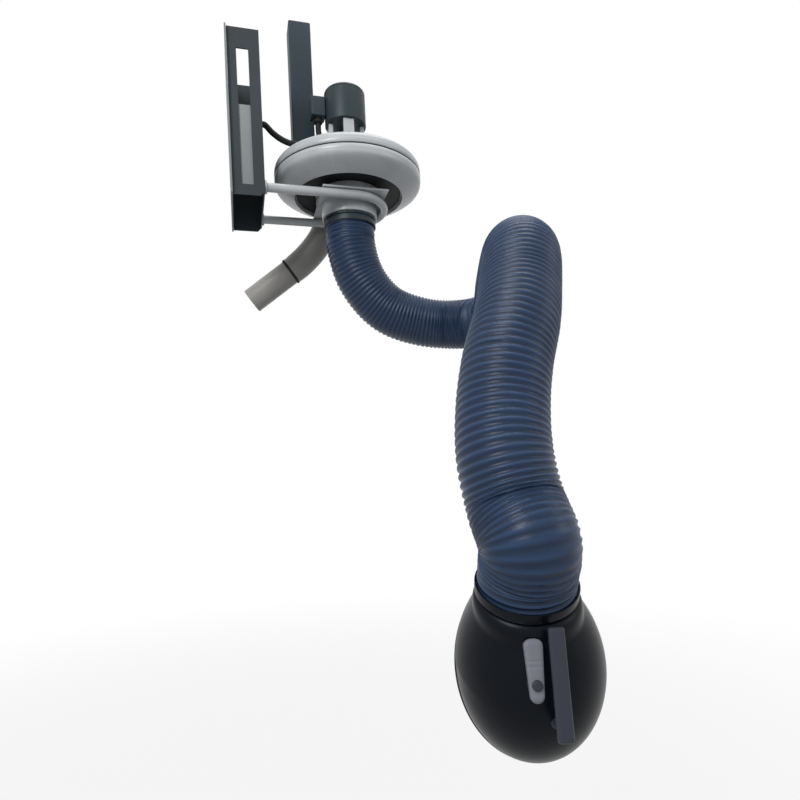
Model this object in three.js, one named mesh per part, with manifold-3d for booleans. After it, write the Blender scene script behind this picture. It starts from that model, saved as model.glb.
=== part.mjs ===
// Fume extraction arm: a wall channel carries a centrifugal fan, and a ribbed hose on a jointed inner arm
// hangs from the fan's inlet and ends in a scoop-shaped hood.
// Millimetres, +Z up. The wall is the plane X = 0, the room is on +X, the origin is on the wall plate's back.
import * as THREE from 'three';
import * as BufferGeometryUtils from 'three/addons/utils/BufferGeometryUtils.js';
import Module from 'manifold-3d';

const wasm = await Module();
wasm.setup();

// Driving dimensions: fits
const GAP = 0.3;
const RUNNING_GAP = 0.6;
const OVERLAP = 1;
const ROUND_SIDES = 20;
const SMALL_SIDES = 16;
const TUBE_SIDES = 10;
const CORD_SIDES = 8;
const FAN_SIDES = 28;

// Driving dimensions: wall plate and channel
const PLATE_WIDTH = 286;
const PLATE_ABOVE = 262;
const PLATE_BELOW = 222;
const PLATE_THICKNESS = 5;
const PLATE_HOLE_RADIUS = 6;
const PLATE_HOLE_INSET = 45;
const CHANNEL_DEPTH = 92;
const CHANNEL_WIDTH = 264;
const CHANNEL_WALL = 4;
const CHANNEL_CHAMFER = 14;
const SLOT_WIDTH = 34;
const SLOT_TOP_MARGIN = 60;
const SLOT_BOTTOM_MARGIN = 30;
const SLOT_FROM_WALL = 26;
const COVER_THICKNESS = 3;
const COVER_HEIGHT = 243;
const COVER_LAP = 10;

// Driving dimensions: bracket and seat plate
const BRACKET_TUBE_RADIUS = 13;
const BRACKET_LEG_SPACING = 224;
const BRACKET_Z = -188;
const FLANGE_RADIUS = 19;
const FLANGE_THICKNESS = 6;
const BRACKET_STEPS = 24;
const SEAT_SIZE = 204;
const SEAT_THICKNESS = 5;

// Driving dimensions: fan
const FAN_X = 370;
const SEAM_Z = -95;
const FAN_RADIUS = 235;
const HOUSING_WALL = 3;
const LIP_HEIGHT = 14;
const DISH_STEPS = 4;
const DISH_DRAW = 0.55;
const SHOULDER = 12;
const RIM_THICKNESS = 6;
const UPPER_HEIGHT = 78;
const TOP_FLAT_RADIUS = 92;
const SHAFT_HOLE_RADIUS = 16;
const GASKET_THICKNESS = 3;
const INLET_RADIUS = 84;
const COLLAR_WALL = 5;
const COLLAR_LENGTH = 34;
const COLLAR_LIP = 10;

// Driving dimensions: motor
const MOTOR_RADIUS = 66;
const MOTOR_HEIGHT = 100;
const MOTOR_WALL = 4;
const PILLAR_HEIGHT = 96;
const PILLAR_WIDTH = 34;
const PILLAR_THICKNESS = 14;
const PILLAR_RADIUS = 50;
const CAP_HEIGHT = 10;
const CAP_SHOULDER = 3;
const BEARING_RADIUS = 20;
const BEARING_HEIGHT = 12;
const SHAFT_RADIUS = 8;
const ROTOR_RADIUS = 34;
const ROTOR_HEIGHT = 46;
const STATOR_GAP = 1.2;
const BOX_SIZE = [46, 44, 62];

// Driving dimensions: impeller
const IMPELLER_RADIUS = 200;
const IMPELLER_DISC = 4;
const BLADE_COUNT = 10;
const BLADE_HEIGHT = 46;
const BLADE_THICKNESS = 4;
const BLADE_INNER_RADIUS = 92;
const HUB_RADIUS = 24;
const HUB_HEIGHT = 40;
const IMPELLER_CLEARANCE = 12;
const BLADE_EDGE_MARGIN = 20;
const IMPELLER_SIDES = 36;

// Driving dimensions: support post and motor cable
const POST_WIDTH = 72;
const POST_WALL = 4;
const POST_OFFSET = [-128, 96];
const POST_HEIGHT = 463.6;
const FOOT_THICKNESS = 6;
const FOOT_REACH = 66;
const FOOT_LAP = 6;
const CABLE_RADIUS = 9;
const CABLE_SIDE = 40;
const CABLE_EXIT_Z = 40;
const CABLE_DROP = 42;
const CABLE_STRAIGHT = 22;
const CABLE_STEPS = 20;
const CABLE_SAG = [
  [0.022, 1, 0], [0.066, 1, 0.024], [0.187, 0.95, 0.52],
  [0.34, 0.85, 0.9], [0.514, 0.6, 1], [0.754, 0.25, 0.76],
];
const GLAND_RADIUS = 15;
const GLAND_LENGTH = 16;

// Driving dimensions: exhaust outlet
const OUTLET_RADIUS = 46;
const OUTLET_WALL = 3;
const OUTLET_SIDES = 14;
const OUTLET_PIPE_RADIUS = 42;
const OUTLET_PIPE_LENGTH = 168;
const OUTLET_RING_LENGTH = 8;
const OUTLET_EDGE_INSET = 57;
const OUTLET_TO_WALL = 30;
const OUTLET_ROOT_DEPTH = 17;
const OUTLET_FALL = [-22, 0, -122];
const OUTLET_SWEEP = [-120, 37, -85];
const OUTLET_STEPS = 6;
const BORE_PROUD = 10;

// Driving dimensions: hose
const HOSE_RIB_RADIUS = 80;
const HOSE_VALLEY_RADIUS = 76;
const HOSE_BORE_RADIUS = 72;
const RIB_PITCH = 16;
const RIB_POINTS = 8;
const BORE_RIBS = 5;
const ROUTE_DIVISIONS = 1200;
const SLEEVE_CLEARANCE = 1.6;
const CLAMP_WIDTH = 16;
const CLAMP_THICKNESS = 2.5;
const CLAMP_EDGE = 4;

// Driving dimensions: the arm's reach, along the hose's middle line
const HOSE_TOP_STRAIGHT = 70;
const SHOULDER_OUT = 386;
const SHOULDER_FORWARD = 84;
const SHOULDER_FALL = 267;
const SHOULDER_BEND = [
  [0.078, -0.036, 0.405], [0.29, -0.095, 0.757], [0.58, -0.048, 0.914], [0.819, 0.238, 0.969],
];
const BOOM_INWARD = 234;
const BOOM_REACH = 784;
const BOOM_FALL = 148;
const BOOM_BEND = [
  [-0.094, 0.122, 0.01], [0.034, 0.276, 0.005], [0.282, 0.48, 0.005],
  [0.521, 0.684, 0.025], [0.675, 0.811, 0.14], [0.838, 0.921, 0.44],
];
const ELBOW_BEFORE_CROWN = 47;
const FOREARM_INWARD = 110;
const FOREARM_REACH = 170;
const FOREARM_FALL = 398;
const FOREARM_BEND = [
  [0.33, 0.304, 0.186], [0.678, 0.519, 0.387], [0.909, 0.684, 0.593], [1.04, 0.861, 0.804],
];
const NECK_OFFSET = [16, 8.5, -140];
const HOSE_END_STRAIGHT = 92;
const HOOD_AXIS = [0.122, 0.453, -0.883];
const HOOD_ACROSS = [0.966, -0.259, 0];

// Driving dimensions: inner arm
const LINK_RADIUS = 8;
const EYE_RADIUS = 24;
const EYE_THICKNESS = 18;
const EYE_ROOT = 0.75;
const CHEEK_THICKNESS = 7;
const WASHER_THICKNESS = 2;
const WASHER_RADIUS = 16;
const PIN_RADIUS = 6;
const PIN_HEAD_RADIUS = 11;
const PIN_HEAD_HEIGHT = 5;
const CHEEK_REACH = 32;
const CHEEK_WIDTH = 38;
const BRIDGE_LENGTH = 12;
const LINK_STEP = 50;
const LINK_LEAST_STEPS = 3;
const PIVOT_SIDES = 16;
const PIN_SIDES = 12;
const SPIDER_BAR = 14;
const SPIGOT_SLEEVE = 46;
const SPIGOT_FLANGE = 6;
const SPIGOT_FLANGE_PROUD = 4;
const SLEEVE_WALL = 3;

// Driving dimensions: hood
const MOUTH_OFFSET = [26, 54, -134];
const MOUTH_WAY = [0.253, 0.945, -0.208];
const HOOD_HALF_WIDTH = 125;
const HOOD_HALF_HEIGHT = 158;
const HOOD_DEPTH = 138;
const HOOD_WALL = 4;
const SCOOP_SIDES = 24;
const SCOOP_ROWS = 16;
const NECK_FLARE_LENGTH = 150;
const NECK_FLARE_RADIUS = 104;
const NECK_SLEEVE = 30;
const NECK_FLANGE = 7;
const NECK_SPIDER_INSET = 20;
const NECK_OUTER_RADIUS = 80;
const HANDLE_LENGTH = 160;
const HANDLE_WIDTH = 24;
const HANDLE_THICKNESS = 12;
const HANDLE_STAND = 34;
const HANDLE_POST_RADIUS = 8;
const HANDLE_SIDE = 12;
const HANDLE_DROP = 16;
const HANDLE_POST_INSET = 20;
const LEVER_TOP_REACH = 66;
const LEVER_TIP_REACH = 26;
const LEVER_TOP_WIDTH = 30;
const LEVER_TIP_WIDTH = 20;
const LEVER_THICKNESS = 14;
const LEVER_SIDE = -20;
const LEVER_DROP = 18;
const SPINDLE_RADIUS = 5;
const BUSH_RADIUS = 12;
const BUSH_LENGTH = 14;
const DAMPER_RADIUS = 40;
const DAMPER_THICKNESS = 3;
const DAMPER_MIDDLE = 58;
const BUSH_PROUD = 5;
const CAP_RADIUS = 8;
const TRIM_DEPTH = 7;
const TRIM_HALF_WIDTH = 4;
const TRIM_SIDES = 40;
const LEVER_CAP_HEIGHT = 5;

const group = new THREE.Group();
const vector = (x, y, z) => new THREE.Vector3(x, y, z);
const CLAMP_SIDE = vector(1, 0, 0.1);

// Finishes seen on the object
function finish(color, roughness, metalness) {
  return new THREE.MeshStandardMaterial({ color, roughness, metalness });
}
const darkSteel = finish(0x43484c, 0.5, 0.3);
const greyPaint = finish(0x9a9da1, 0.3, 0.1);
const palePanel = finish(0xa9adab, 0.5, 0.1);
const blackSteel = finish(0x33383c, 0.5, 0.3);
const postPaint = finish(0x2f3d4c, 0.55, 0.2);
const hoseFabric = finish(0x2c4666, 0.5, 0.0);
const blackGloss = finish(0x0c0e12, 0.12, 0.0);
const greyPlastic = finish(0x8c8b88, 0.5, 0.0);
const rubber = finish(0x1b1c1e, 0.8, 0.0);
const zinc = finish(0xb4b8bc, 0.35, 0.9);
const castAlloy = finish(0x8f959b, 0.45, 0.7);
const brass = finish(0xb08d4a, 0.35, 0.9);
const gripGrey = finish(0x6d7076, 0.4, 0.0);

// Adds one named piece to the object.
function piece(name, geometry, material) {
  const mesh = new THREE.Mesh(geometry, material);
  mesh.name = name;
  group.add(mesh);
  return mesh;
}

// Turns a closed geometry into a solid for joining and cutting.
function solid(geometry) {
  const bare = geometry.clone();
  bare.deleteAttribute('normal');
  bare.deleteAttribute('uv');
  const merged = BufferGeometryUtils.mergeVertices(bare, 1e-4);
  const count = merged.attributes.position.count;
  const vertProperties = new Float32Array(merged.attributes.position.array);
  const source = merged.index ? merged.index.array : Array.from({ length: count }, (_, index) => index);
  const kept = [];
  for (let i = 0; i < source.length; i += 3) {
    const [a, b, c] = [source[i], source[i + 1], source[i + 2]];
    if (a !== b && b !== c && c !== a) kept.push(a, b, c);
  }
  return new wasm.Manifold(new wasm.Mesh({ numProp: 3, vertProperties, triVerts: new Uint32Array(kept) }));
}

// Turns a solid back into a geometry.
function shape(body) {
  const mesh = body.getMesh();
  const geometry = new THREE.BufferGeometry();
  geometry.setAttribute('position', new THREE.BufferAttribute(new Float32Array(mesh.vertProperties), 3));
  geometry.setIndex(new THREE.BufferAttribute(new Uint32Array(mesh.triVerts), 1));
  return geometry;
}

// Box given by its middle and its full sizes.
function box(x, y, z, sizeX, sizeY, sizeZ) {
  return new THREE.BoxGeometry(sizeX, sizeY, sizeZ).translate(x, y, z);
}

// Solid of revolution about Z: profile points are [radius, height], closed or ended on the axis.
// The profile is walked with its material on the left, so that the faces point out.
function turned(profile, sides = ROUND_SIDES) {
  const points = profile.map(([radius, height]) => new THREE.Vector2(radius, height));
  if (THREE.ShapeUtils.area(points) < 0) points.reverse();
  return new THREE.LatheGeometry(points, sides).rotateX(Math.PI / 2);
}

// Ring about Z between two heights.
function ring(inner, outer, low, high, sides = ROUND_SIDES) {
  return turned([[inner, low], [outer, low], [outer, high], [inner, high], [inner, low]], sides);
}

// Disc about Z between two heights.
function disc(radius, low, high, sides = ROUND_SIDES) {
  return turned([[0, low], [radius, low], [radius, high], [0, high]], sides);
}

// Radius of a faceted hole that clears a round piece by the fit gap all round.
const around = (radius, sides = ROUND_SIDES) => (radius + GAP) / Math.cos(Math.PI / sides);

// Radius of a faceted piece that turns freely inside a faceted hole.
const within = (radius, sides = ROUND_SIDES) => radius * Math.cos(Math.PI / sides) - RUNNING_GAP;

// Matrix that carries local Z to an axis, local X near a side direction, and the origin to a place.
function placed(origin, axis, side) {
  const z = axis.clone().normalize();
  const x = side.clone().addScaledVector(z, -side.dot(z)).normalize();
  const y = new THREE.Vector3().crossVectors(z, x);
  return new THREE.Matrix4().makeBasis(x, y, z).setPosition(origin);
}

// Extrudes a closed outline along a curve, square at both ends.
function swept(outline, curve, steps) {
  const settings = { steps, extrudePath: curve, curveSegments: 1, bevelEnabled: false };
  return new THREE.ExtrudeGeometry(outline, settings);
}

// Round outline with a number of sides.
function roundOutline(radius, sides) {
  const points = [];
  for (let i = 0; i < sides; i += 1) {
    const angle = (i / sides) * Math.PI * 2;
    points.push(new THREE.Vector2(radius * Math.cos(angle), radius * Math.sin(angle)));
  }
  return new THREE.Shape(points);
}

// Stretch of a curve between two lengths measured along it.
class Stretch extends THREE.Curve {
  constructor(whole, from, to) {
    super();
    this.whole = whole;
    this.total = whole.getLength();
    this.from = from;
    this.to = to;
  }

  getPoint(t, target = new THREE.Vector3()) {
    const length = this.from + (this.to - this.from) * t;
    return this.whole.getPointAt(THREE.MathUtils.clamp(length / this.total, 0, 1), target);
  }
}

// Wall plate and channel
const plateHeight = PLATE_ABOVE + PLATE_BELOW;
const plateMiddle = (PLATE_ABOVE - PLATE_BELOW) / 2;
const plateHoles = [];
for (const side of [-1, 1]) {
  for (const end of [-1, 1]) {
    const hole = disc(PLATE_HOLE_RADIUS, -PLATE_THICKNESS, PLATE_THICKNESS * 2, SMALL_SIDES);
    const holeY = side * (CHANNEL_WIDTH / 2 - PLATE_HOLE_INSET);
    const holeZ = plateMiddle + end * (plateHeight / 2 - PLATE_HOLE_INSET);
    plateHoles.push(solid(hole.rotateY(Math.PI / 2).translate(0, holeY, holeZ)));
  }
}
let plate = solid(box(PLATE_THICKNESS / 2, 0, plateMiddle, PLATE_THICKNESS, PLATE_WIDTH, plateHeight));
for (const hole of plateHoles) plate = plate.subtract(hole);
piece('wall_plate', shape(plate), palePanel);

const channelBack = PLATE_THICKNESS + GAP;
const channelFront = channelBack + CHANNEL_DEPTH;
const flangeOuter = CHANNEL_WIDTH / 2;
const channelMiddle = channelBack + CHANNEL_DEPTH / 2;
const channelBlock = solid(box(channelMiddle, 0, plateMiddle, CHANNEL_DEPTH, CHANNEL_WIDTH, plateHeight));
const channelHollow = solid(box(
  channelMiddle - CHANNEL_WALL, 0, plateMiddle,
  CHANNEL_DEPTH, CHANNEL_WIDTH - 2 * CHANNEL_WALL, plateHeight * 2));
const slotHeight = plateHeight - SLOT_TOP_MARGIN - SLOT_BOTTOM_MARGIN;
const slotZ = plateMiddle + (SLOT_BOTTOM_MARGIN - SLOT_TOP_MARGIN) / 2;
const slotX = channelBack + SLOT_FROM_WALL + SLOT_WIDTH / 2;
const slotCut = solid(box(slotX, -flangeOuter, slotZ, SLOT_WIDTH, CHANNEL_WALL * 4, slotHeight));
const chamferSide = CHANNEL_CHAMFER * Math.SQRT2;
const chamferCut = solid(box(0, 0, 0, chamferSide, CHANNEL_WIDTH * 2, chamferSide)
  .rotateY(Math.PI / 4).translate(channelFront, 0, -PLATE_BELOW));
const channel = channelBlock.subtract(channelHollow).subtract(slotCut).subtract(chamferCut);
piece('wall_channel', shape(channel), darkSteel);

const coverY = -flangeOuter + CHANNEL_WALL + GAP + COVER_THICKNESS / 2;
const coverZ = slotZ - slotHeight / 2 - COVER_LAP + COVER_HEIGHT / 2;
const coverWidth = SLOT_WIDTH + 2 * COVER_LAP;
piece('cable_cover_strip', box(slotX, coverY, coverZ, coverWidth, COVER_THICKNESS, COVER_HEIGHT), palePanel);

// Hairpin bracket: one bent tube with two level legs, bent half round the fan inlet
const legY = BRACKET_LEG_SPACING / 2;
const legStart = channelFront + GAP + FLANGE_THICKNESS + GAP;
const hairpin = new THREE.CurvePath();
hairpin.add(new THREE.LineCurve3(vector(legStart, -legY, BRACKET_Z), vector(FAN_X, -legY, BRACKET_Z)));
class HalfTurn extends THREE.Curve {
  getPoint(t, target = new THREE.Vector3()) {
    const angle = -Math.PI / 2 + Math.PI * t;
    return target.set(FAN_X + legY * Math.cos(angle), legY * Math.sin(angle), BRACKET_Z);
  }
}
hairpin.add(new HalfTurn());
hairpin.add(new THREE.LineCurve3(vector(FAN_X, legY, BRACKET_Z), vector(legStart, legY, BRACKET_Z)));
const bracketTube = swept(roundOutline(BRACKET_TUBE_RADIUS, TUBE_SIDES), hairpin, BRACKET_STEPS);
piece('bracket_hairpin', bracketTube, greyPaint);
for (const [name, side] of [['bracket_flange_near', -1], ['bracket_flange_far', 1]]) {
  const flange = disc(FLANGE_RADIUS, 0, FLANGE_THICKNESS).rotateY(Math.PI / 2);
  piece(name, flange.translate(channelFront + GAP, side * legY, BRACKET_Z), greyPaint);
}

// Fan seat plate: sits on the bracket, with a hole for the inlet
const seatLow = BRACKET_Z + BRACKET_TUBE_RADIUS + GAP;
const seatHigh = seatLow + SEAT_THICKNESS;
const seatWidth = BRACKET_LEG_SPACING + 2 * BRACKET_TUBE_RADIUS;
const collarOuter = INLET_RADIUS + COLLAR_WALL;
const seatHole = disc(around(collarOuter), seatLow - SEAT_THICKNESS, seatHigh + SEAT_THICKNESS);
const seatBlock = box(0, 0, (seatLow + seatHigh) / 2, SEAT_SIZE, seatWidth, SEAT_THICKNESS);
const seat = solid(seatBlock).subtract(solid(seatHole)).translate([FAN_X, 0, 0]);
piece('fan_seat_plate', shape(seat), greyPaint);

// Fan housing: two dished halves with a gasket in the seam
const lowerTop = SEAM_Z - GASKET_THICKNESS / 2 - GAP;
const upperBottom = SEAM_Z + GASKET_THICKNESS / 2 + GAP;
const lowerBottom = seatHigh + GAP;
// Half of the fan housing: an upright lip at the rim, then a dome drawn in faster than a quarter round.
function dish(radiusOut, radiusIn, rimZ, endZ, wall) {
  const way = Math.sign(endZ - rimZ);
  const depth = Math.abs(endZ - rimZ);
  const outside = [[radiusOut, rimZ], [radiusOut, rimZ + way * LIP_HEIGHT]];
  const inside = [[radiusOut - RIM_THICKNESS, rimZ], [radiusOut - RIM_THICKNESS, rimZ + way * LIP_HEIGHT]];
  for (let i = 1; i <= DISH_STEPS; i += 1) {
    const t = i / DISH_STEPS;
    const angle = t * Math.PI / 2;
    const drawn = (radiusOut - radiusIn) * (1 - t * DISH_DRAW) * Math.cos(angle);
    const radius = radiusIn + drawn + SHOULDER * (1 - t);
    const height = LIP_HEIGHT + (depth - LIP_HEIGHT) * Math.sin(angle);
    outside.push([radius, rimZ + way * height]);
    inside.push([Math.max(radius - wall, radiusIn), rimZ + way * Math.max(height - wall, LIP_HEIGHT)]);
  }
  return { outside, inside };
}
const lower = dish(FAN_RADIUS, collarOuter + GAP + SHOULDER, lowerTop, lowerBottom, HOUSING_WALL);
const lowerRing = around(collarOuter, FAN_SIDES);
const lowerProfile = [...lower.outside, [lowerRing, lowerBottom], [lowerRing, lowerBottom + HOUSING_WALL],
  ...lower.inside.slice().reverse(), lower.outside[0]];
piece('fan_lower_housing', turned(lowerProfile, FAN_SIDES).translate(FAN_X, 0, 0), greyPaint);
const upperTop = upperBottom + UPPER_HEIGHT;
const upper = dish(FAN_RADIUS, TOP_FLAT_RADIUS, upperBottom, upperTop, HOUSING_WALL);
const upperProfile = [...upper.outside,
  [SHAFT_HOLE_RADIUS, upperTop], [SHAFT_HOLE_RADIUS, upperTop - HOUSING_WALL],
  ...upper.inside.slice().reverse(), upper.outside[0]];
piece('fan_upper_housing', turned(upperProfile, FAN_SIDES).translate(FAN_X, 0, 0), greyPaint);
piece('seam_gasket', ring(FAN_RADIUS - RIM_THICKNESS, FAN_RADIUS - OVERLAP, SEAM_Z - GASKET_THICKNESS / 2,
  SEAM_Z + GASKET_THICKNESS / 2, FAN_SIDES).translate(FAN_X, 0, 0), rubber);

// Inlet collar: hangs by its lip inside the lower half and carries the arm's swivel
const collarLow = BRACKET_Z - COLLAR_LENGTH;
const collarHigh = lowerBottom + HOUSING_WALL + GAP;
piece('inlet_collar', turned([
  [INLET_RADIUS, collarLow + COLLAR_WALL], [INLET_RADIUS - COLLAR_LIP, collarLow + COLLAR_WALL],
  [INLET_RADIUS - COLLAR_LIP, collarLow], [collarOuter, collarLow], [collarOuter, collarHigh],
  [collarOuter + COLLAR_LIP, collarHigh], [collarOuter + COLLAR_LIP, collarHigh + COLLAR_WALL],
  [INLET_RADIUS, collarHigh + COLLAR_WALL], [INLET_RADIUS, collarLow + COLLAR_WALL],
]).translate(FAN_X, 0, 0), greyPaint);

// Motor on four pillars above the fan
const pillarLow = upperTop + GAP;
const pillarHigh = pillarLow + PILLAR_HEIGHT;
const pillarNames = ['motor_pillar_right', 'motor_pillar_back', 'motor_pillar_left', 'motor_pillar_near'];
pillarNames.forEach((name, i) => {
  const angle = (i / pillarNames.length) * Math.PI * 2;
  const pillarZ = (pillarLow + pillarHigh) / 2;
  const pillar = box(PILLAR_RADIUS, 0, pillarZ, PILLAR_THICKNESS, PILLAR_WIDTH, PILLAR_HEIGHT);
  piece(name, pillar.rotateZ(angle).translate(FAN_X, 0, 0), greyPaint);
});
const canLow = pillarHigh + GAP;
const canHigh = canLow + MOTOR_HEIGHT;
const bearingSeat = BEARING_RADIUS + GAP;
const bearingLow = canLow + MOTOR_WALL + GAP;
piece('motor_can', turned([
  [SHAFT_RADIUS + RUNNING_GAP, canLow], [MOTOR_RADIUS, canLow], [MOTOR_RADIUS, canHigh],
  [MOTOR_RADIUS - MOTOR_WALL, canHigh], [MOTOR_RADIUS - MOTOR_WALL, canLow + MOTOR_WALL],
  [bearingSeat + MOTOR_WALL, canLow + MOTOR_WALL],
  [bearingSeat + MOTOR_WALL, canLow + MOTOR_WALL + BEARING_HEIGHT / 2],
  [bearingSeat, canLow + MOTOR_WALL + BEARING_HEIGHT / 2], [bearingSeat, canLow + MOTOR_WALL],
  [SHAFT_RADIUS + RUNNING_GAP, canLow + MOTOR_WALL], [SHAFT_RADIUS + RUNNING_GAP, canLow],
]).translate(FAN_X, 0, 0), blackSteel);
const capLow = canHigh + GAP;
const capSkirt = BEARING_HEIGHT + MOTOR_WALL;
piece('motor_end_cap', turned([
  [0, capLow + CAP_HEIGHT], [MOTOR_RADIUS - CAP_HEIGHT, capLow + CAP_HEIGHT],
  [MOTOR_RADIUS - CAP_SHOULDER, capLow + CAP_HEIGHT / 2],
  [MOTOR_RADIUS, capLow], [bearingSeat + MOTOR_WALL, capLow], [bearingSeat + MOTOR_WALL, capLow - capSkirt],
  [bearingSeat, capLow - capSkirt], [bearingSeat, capLow], [0, capLow],
]).translate(FAN_X, 0, 0), blackSteel);
const bearingHigh = capLow - GAP - BEARING_HEIGHT;
for (const [name, low] of [['lower_bearing', bearingLow], ['upper_bearing', bearingHigh]]) {
  const bearing = ring(SHAFT_RADIUS + GAP, BEARING_RADIUS, low, low + BEARING_HEIGHT);
  piece(name, bearing.translate(FAN_X, 0, 0), zinc);
}
const rotorMiddle = (canLow + capLow) / 2;
const statorInner = ROTOR_RADIUS + STATOR_GAP;
piece('stator', ring(statorInner, MOTOR_RADIUS - MOTOR_WALL - GAP, rotorMiddle - ROTOR_HEIGHT / 2,
  rotorMiddle + ROTOR_HEIGHT / 2).translate(FAN_X, 0, 0), castAlloy);
piece('rotor_core', ring(SHAFT_RADIUS + GAP, ROTOR_RADIUS, rotorMiddle - ROTOR_HEIGHT / 2 + STATOR_GAP,
  rotorMiddle + ROTOR_HEIGHT / 2 - STATOR_GAP).translate(FAN_X, 0, 0), castAlloy);

// Shaft and impeller
const impellerTop = upperTop - HOUSING_WALL - IMPELLER_CLEARANCE;
const shaftLow = impellerTop - HUB_HEIGHT;
piece('motor_shaft', disc(SHAFT_RADIUS, shaftLow, capLow - GAP).translate(FAN_X, 0, 0), zinc);
let impeller = solid(ring(SHAFT_RADIUS + GAP, HUB_RADIUS, shaftLow, impellerTop));
const discHigh = shaftLow + IMPELLER_DISC;
const backDisc = ring(HUB_RADIUS - OVERLAP, IMPELLER_RADIUS, shaftLow, discHigh, IMPELLER_SIDES);
impeller = impeller.add(solid(backDisc));
const bladeLength = IMPELLER_RADIUS - BLADE_EDGE_MARGIN - BLADE_INNER_RADIUS;
const bladeX = BLADE_INNER_RADIUS + bladeLength / 2;
const bladeZ = shaftLow + OVERLAP - BLADE_HEIGHT / 2;
for (let i = 0; i < BLADE_COUNT; i += 1) {
  const angle = (i / BLADE_COUNT) * Math.PI * 2;
  const blade = box(bladeX, 0, bladeZ, bladeLength, BLADE_THICKNESS, BLADE_HEIGHT);
  impeller = impeller.add(solid(blade.rotateZ(angle)));
}
piece('impeller', shape(impeller).translate(FAN_X, 0, 0), castAlloy);

// Terminal box on the motor's wall side, and the cable from the channel to it
const boxRight = FAN_X - MOTOR_RADIUS - GAP;
const boxMiddleZ = (canLow + canHigh) / 2;
piece('terminal_box', box(boxRight - BOX_SIZE[0] / 2, 0, boxMiddleZ, ...BOX_SIZE), blackSteel);
const glandTop = boxMiddleZ - BOX_SIZE[2] / 2 - GAP;
const glandX = boxRight - BOX_SIZE[0] / 2;
const gland = disc(GLAND_RADIUS, glandTop - GLAND_LENGTH, glandTop, SMALL_SIDES);
piece('cable_gland', gland.translate(glandX, 0, 0), rubber);
const cableEnd = glandTop - GLAND_LENGTH - GAP;
const cableStart = channelFront + 2 * GAP;
const cableRoute = new THREE.CatmullRomCurve3([
  vector(cableStart, -CABLE_SIDE, CABLE_EXIT_Z),
  ...CABLE_SAG.map(([along, side, drop]) => vector(
    cableStart + along * (glandX - cableStart), -CABLE_SIDE * side, CABLE_EXIT_Z - CABLE_DROP * drop)),
  vector(glandX, 0, cableEnd - CABLE_STRAIGHT * 2), vector(glandX, 0, cableEnd - CABLE_STRAIGHT),
  vector(glandX, 0, cableEnd),
]);
piece('motor_cable', swept(roundOutline(CABLE_RADIUS, CORD_SIDES), cableRoute, CABLE_STEPS), rubber);

// Support post: a square tube standing on the fan's upper half, behind the motor
const postX = FAN_X + POST_OFFSET[0];
const postY = POST_OFFSET[1];
const footLow = upperTop + GAP;
const footHigh = footLow + FOOT_THICKNESS;
const footX = postX + FOOT_REACH / 2;
const footY = postY - FOOT_LAP / 2;
const footSizes = [POST_WIDTH + FOOT_REACH, POST_WIDTH + FOOT_LAP, FOOT_THICKNESS];
piece('post_foot', box(footX, footY, (footLow + footHigh) / 2, ...footSizes), postPaint);
const postLow = footHigh + GAP;
const postTop = postLow + POST_HEIGHT;
const postInner = POST_WIDTH - 2 * POST_WALL;
const postMiddle = (postLow + postTop) / 2;
const postBlock = solid(box(postX, postY, postMiddle, POST_WIDTH, POST_WIDTH, POST_HEIGHT));
const postBore = solid(box(postX, postY, postMiddle - POST_WALL, postInner, postInner, POST_HEIGHT));
piece('support_post', shape(postBlock.subtract(postBore)), postPaint);

// Exhaust outlet: an elbow off the lower half, a joint ring and a plain pipe
const outletY = FAN_RADIUS - OUTLET_EDGE_INSET;
const outletStart = vector(FAN_X - OUTLET_TO_WALL, outletY, SEAM_Z - OUTLET_ROOT_DEPTH);
const outletBend = outletStart.clone().add(vector(...OUTLET_FALL));
const outletEnd = outletBend.clone().add(vector(...OUTLET_SWEEP));
const outletCurve = new THREE.QuadraticBezierCurve3(outletStart, outletBend, outletEnd);
const outletWay = vector(...OUTLET_SWEEP).normalize();
const elbowOuter = solid(swept(roundOutline(OUTLET_RADIUS, OUTLET_SIDES), outletCurve, OUTLET_STEPS));
const boreCurve = new THREE.CatmullRomCurve3([
  outletStart.clone().setZ(outletStart.z + BORE_PROUD), ...outletCurve.getPoints(OUTLET_STEPS),
  outletEnd.clone().addScaledVector(outletWay, BORE_PROUD),
]);
const boreSteps = OUTLET_STEPS + 2;
const elbowBore = solid(swept(roundOutline(OUTLET_RADIUS - OUTLET_WALL, OUTLET_SIDES), boreCurve, boreSteps));
const housingRoom = solid(turned([
  ...lower.outside.map(([radius, z]) => [radius + GAP, z - GAP]), [0, lowerBottom - GAP],
  [0, upperTop], [FAN_RADIUS + GAP, upperTop], [FAN_RADIUS + GAP, lowerTop - GAP],
], FAN_SIDES).translate(FAN_X, 0, 0));
piece('outlet_elbow', shape(elbowOuter.subtract(elbowBore).subtract(housingRoom)), greyPlastic);
const upAxis = vector(0, 0, 1);
const pipeInner = OUTLET_PIPE_RADIUS - OUTLET_WALL;
const ringStart = outletEnd.clone().addScaledVector(outletWay, GAP);
piece('outlet_joint_ring', ring(pipeInner, OUTLET_RADIUS, 0, OUTLET_RING_LENGTH, OUTLET_SIDES)
  .applyMatrix4(placed(ringStart, outletWay, upAxis)), rubber);
const pipeStart = ringStart.clone().addScaledVector(outletWay, OUTLET_RING_LENGTH + GAP);
piece('outlet_pipe', ring(pipeInner, OUTLET_PIPE_RADIUS, 0, OUTLET_PIPE_LENGTH, OUTLET_SIDES)
  .applyMatrix4(placed(pipeStart, outletWay, upAxis)), greyPlastic);

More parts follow.
